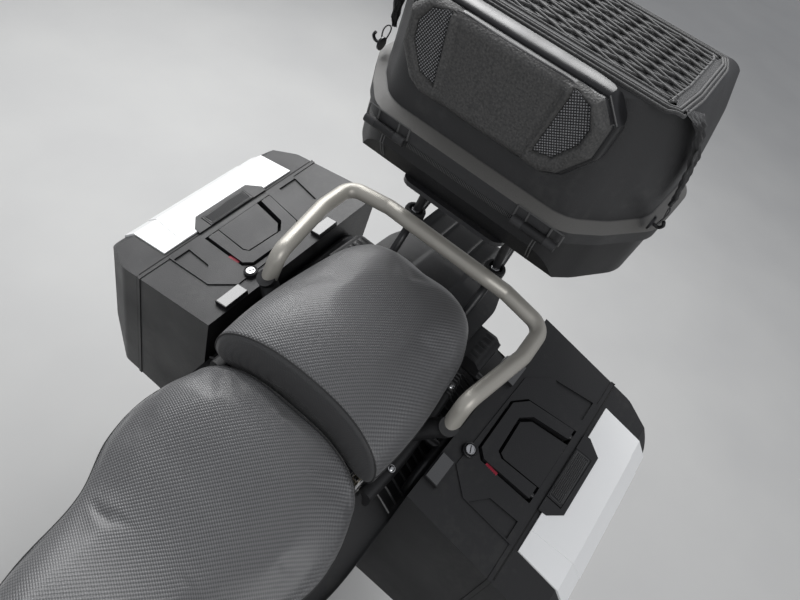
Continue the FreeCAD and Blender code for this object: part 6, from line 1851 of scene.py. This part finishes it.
def on_head(up, ahead, side):
    """A place on the leaning cylinder block, in millimetres from its foot."""
    return drawn(HEAD_FOOT + (0, side, 0) + HEAD_UP * up + HEAD_AHEAD * ahead)


cover_bolts += [bolt(on_head(262.4, ahead, side), HEAD_UP, 4.8)
                for ahead in (-78, -26, 26, 78) for side in (-106, 106)]
cover_bolts += [bolt(on_head(up, ahead, sign * 117.2), (0, sign, 0), 5)
                for up in (140, 192) for ahead in (-84, 84) for _, sign in SIDES]
group("engine_bolts", cover_bolts, axle_steel, "root", slot="axle_steel", crease=30)
PLUG_CAP = [(0, 0), (0, 17), (10, 17), (13, 12.5), (30, 11.5), (33, 9), (33, 0)]
caps = []
for side in (-45, 45):
    caps.append(turned_grid(on_head(262, 0, side), HEAD_UP, PLUG_CAP, 24))
    lead = [on_head(up, ahead, side * share)
            for up, ahead, share in ((290, 0, 1), (304, -20, 0.8), (300, -70, 0.4), (250, -112, 0.3))]
    caps.append(tube_grid(path_through(lead, 30), 0.0038, 10))
group("plug_caps", caps, hose_rubber, "root", slot="black_plastic")
print(len(cover_bolts), "engine bolts")

# %% [markdown]
# Cooling hoses are thick and bend in wide curves, and each end is held by a steel band. The guard in front of
# the fins is a grid of thin bars, each of them a real tube, because light has to pass between them.

# %% Hoses and radiator guard
HOSES = [[(1100, 150, 562), (1062, 158, 540), (1020, 150, 492), (985, 128, 440), (955, 118, 420)],
         [(1108, -150, 752), (1070, -134, 770), (1030, -112, 762), (985, -92, 728), (958, -84, 712)]]
hoses = [path_through(drawn(line), 50) for line in HOSES]
group("cooling_hoses", [tube_grid(line, 0.0145, 18) for line in hoses], hose_rubber, "root", slot="black_plastic")
HOSE_BAND = [(-4, 14.6), (-4, 16), (4, 16), (4, 14.6), (-4, 14.6)]
clips = [turned_grid(line[k], line[k + 1] - line[k - 1], HOSE_BAND, 24) for line in hoses for k in (5, 44)]
group("hose_bands", clips, bright_metal, "root", slot="axle_steel")


RADIATOR_FOOT, RADIATOR_RISE = (1114, 540), (15, 229)


def on_radiator(share, y, lift):
    """Places on the leaning radiator: a share of its height, to the side, and ahead of it."""
    return placed(RADIATOR_FOOT[0] + share * RADIATOR_RISE[0] + lift, y, RADIATOR_FOOT[1] + share * RADIATOR_RISE[1])


guard = [tube_grid(on_radiator(share, np.linspace(-158, 158, 6), 2.6), 0.0011, 6)
         for share in np.linspace(0.03, 0.97, 30)]
guard += [tube_grid(on_radiator(np.linspace(0.02, 0.98, 6), y, 3.6), 0.0011, 6)
          for y in np.linspace(-156, 156, 14)]
group("radiator_guard", guard, brake_paint, "root", slot="radiator_metal")
print(len(guard), "bars in the radiator's guard")

# %% [markdown]
# A silencer is a rolled sleeve with riveted end caps. Rows of rivets and a few raised beads show how it is
# held together.

# %% Exhaust rivets and beads
MUFFLER_START, MUFFLER_END = np.array([300, -185, 440.0]), np.array([-220, -185, 500.0])
pipe_axis = unit(MUFFLER_END - MUFFLER_START)
across, upward = np.array([0, 1.0, 0]), np.cross(pipe_axis, [0, 1.0, 0])


def round_pipe(reach, radius, count, twist=0.0):
    """Places and outward directions in a circle round the muffler."""
    out = circle(1, count, upward, across, twist)
    return drawn(MUFFLER_START + pipe_axis * reach + out * radius), out


RIVET = [(-0.5, 0), (-0.5, 3.6), (0.6, 3.4), (1.4, 1.8), (1.4, 0)]
rivets = [turned_grid(place, out, RIVET, 12)
          for reach in (72, 452) for place, out in zip(*round_pipe(reach, 48, 12, 0.2))]
group("muffler_rivets", rivets, axle_steel, "root", slot="exhaust_steel")
beads = []
for reach, radius in ((61, 48.2), (96, 51.2), (116, 51.2), (470, 47.6)):
    places, _ = round_pipe(reach, radius, 48)
    beads.append(tube_grid(np.concatenate([places, places[:2]]), 0.0013, 8, False))
beads.append(turned_grid(drawn(MUFFLER_END - pipe_axis * 38), pipe_axis, rod(21.8, 0, 2), 32))
group("muffler_beads", beads, exhaust_steel, "root", slot="exhaust_steel")
print(len(rivets), "rivets on the muffler")
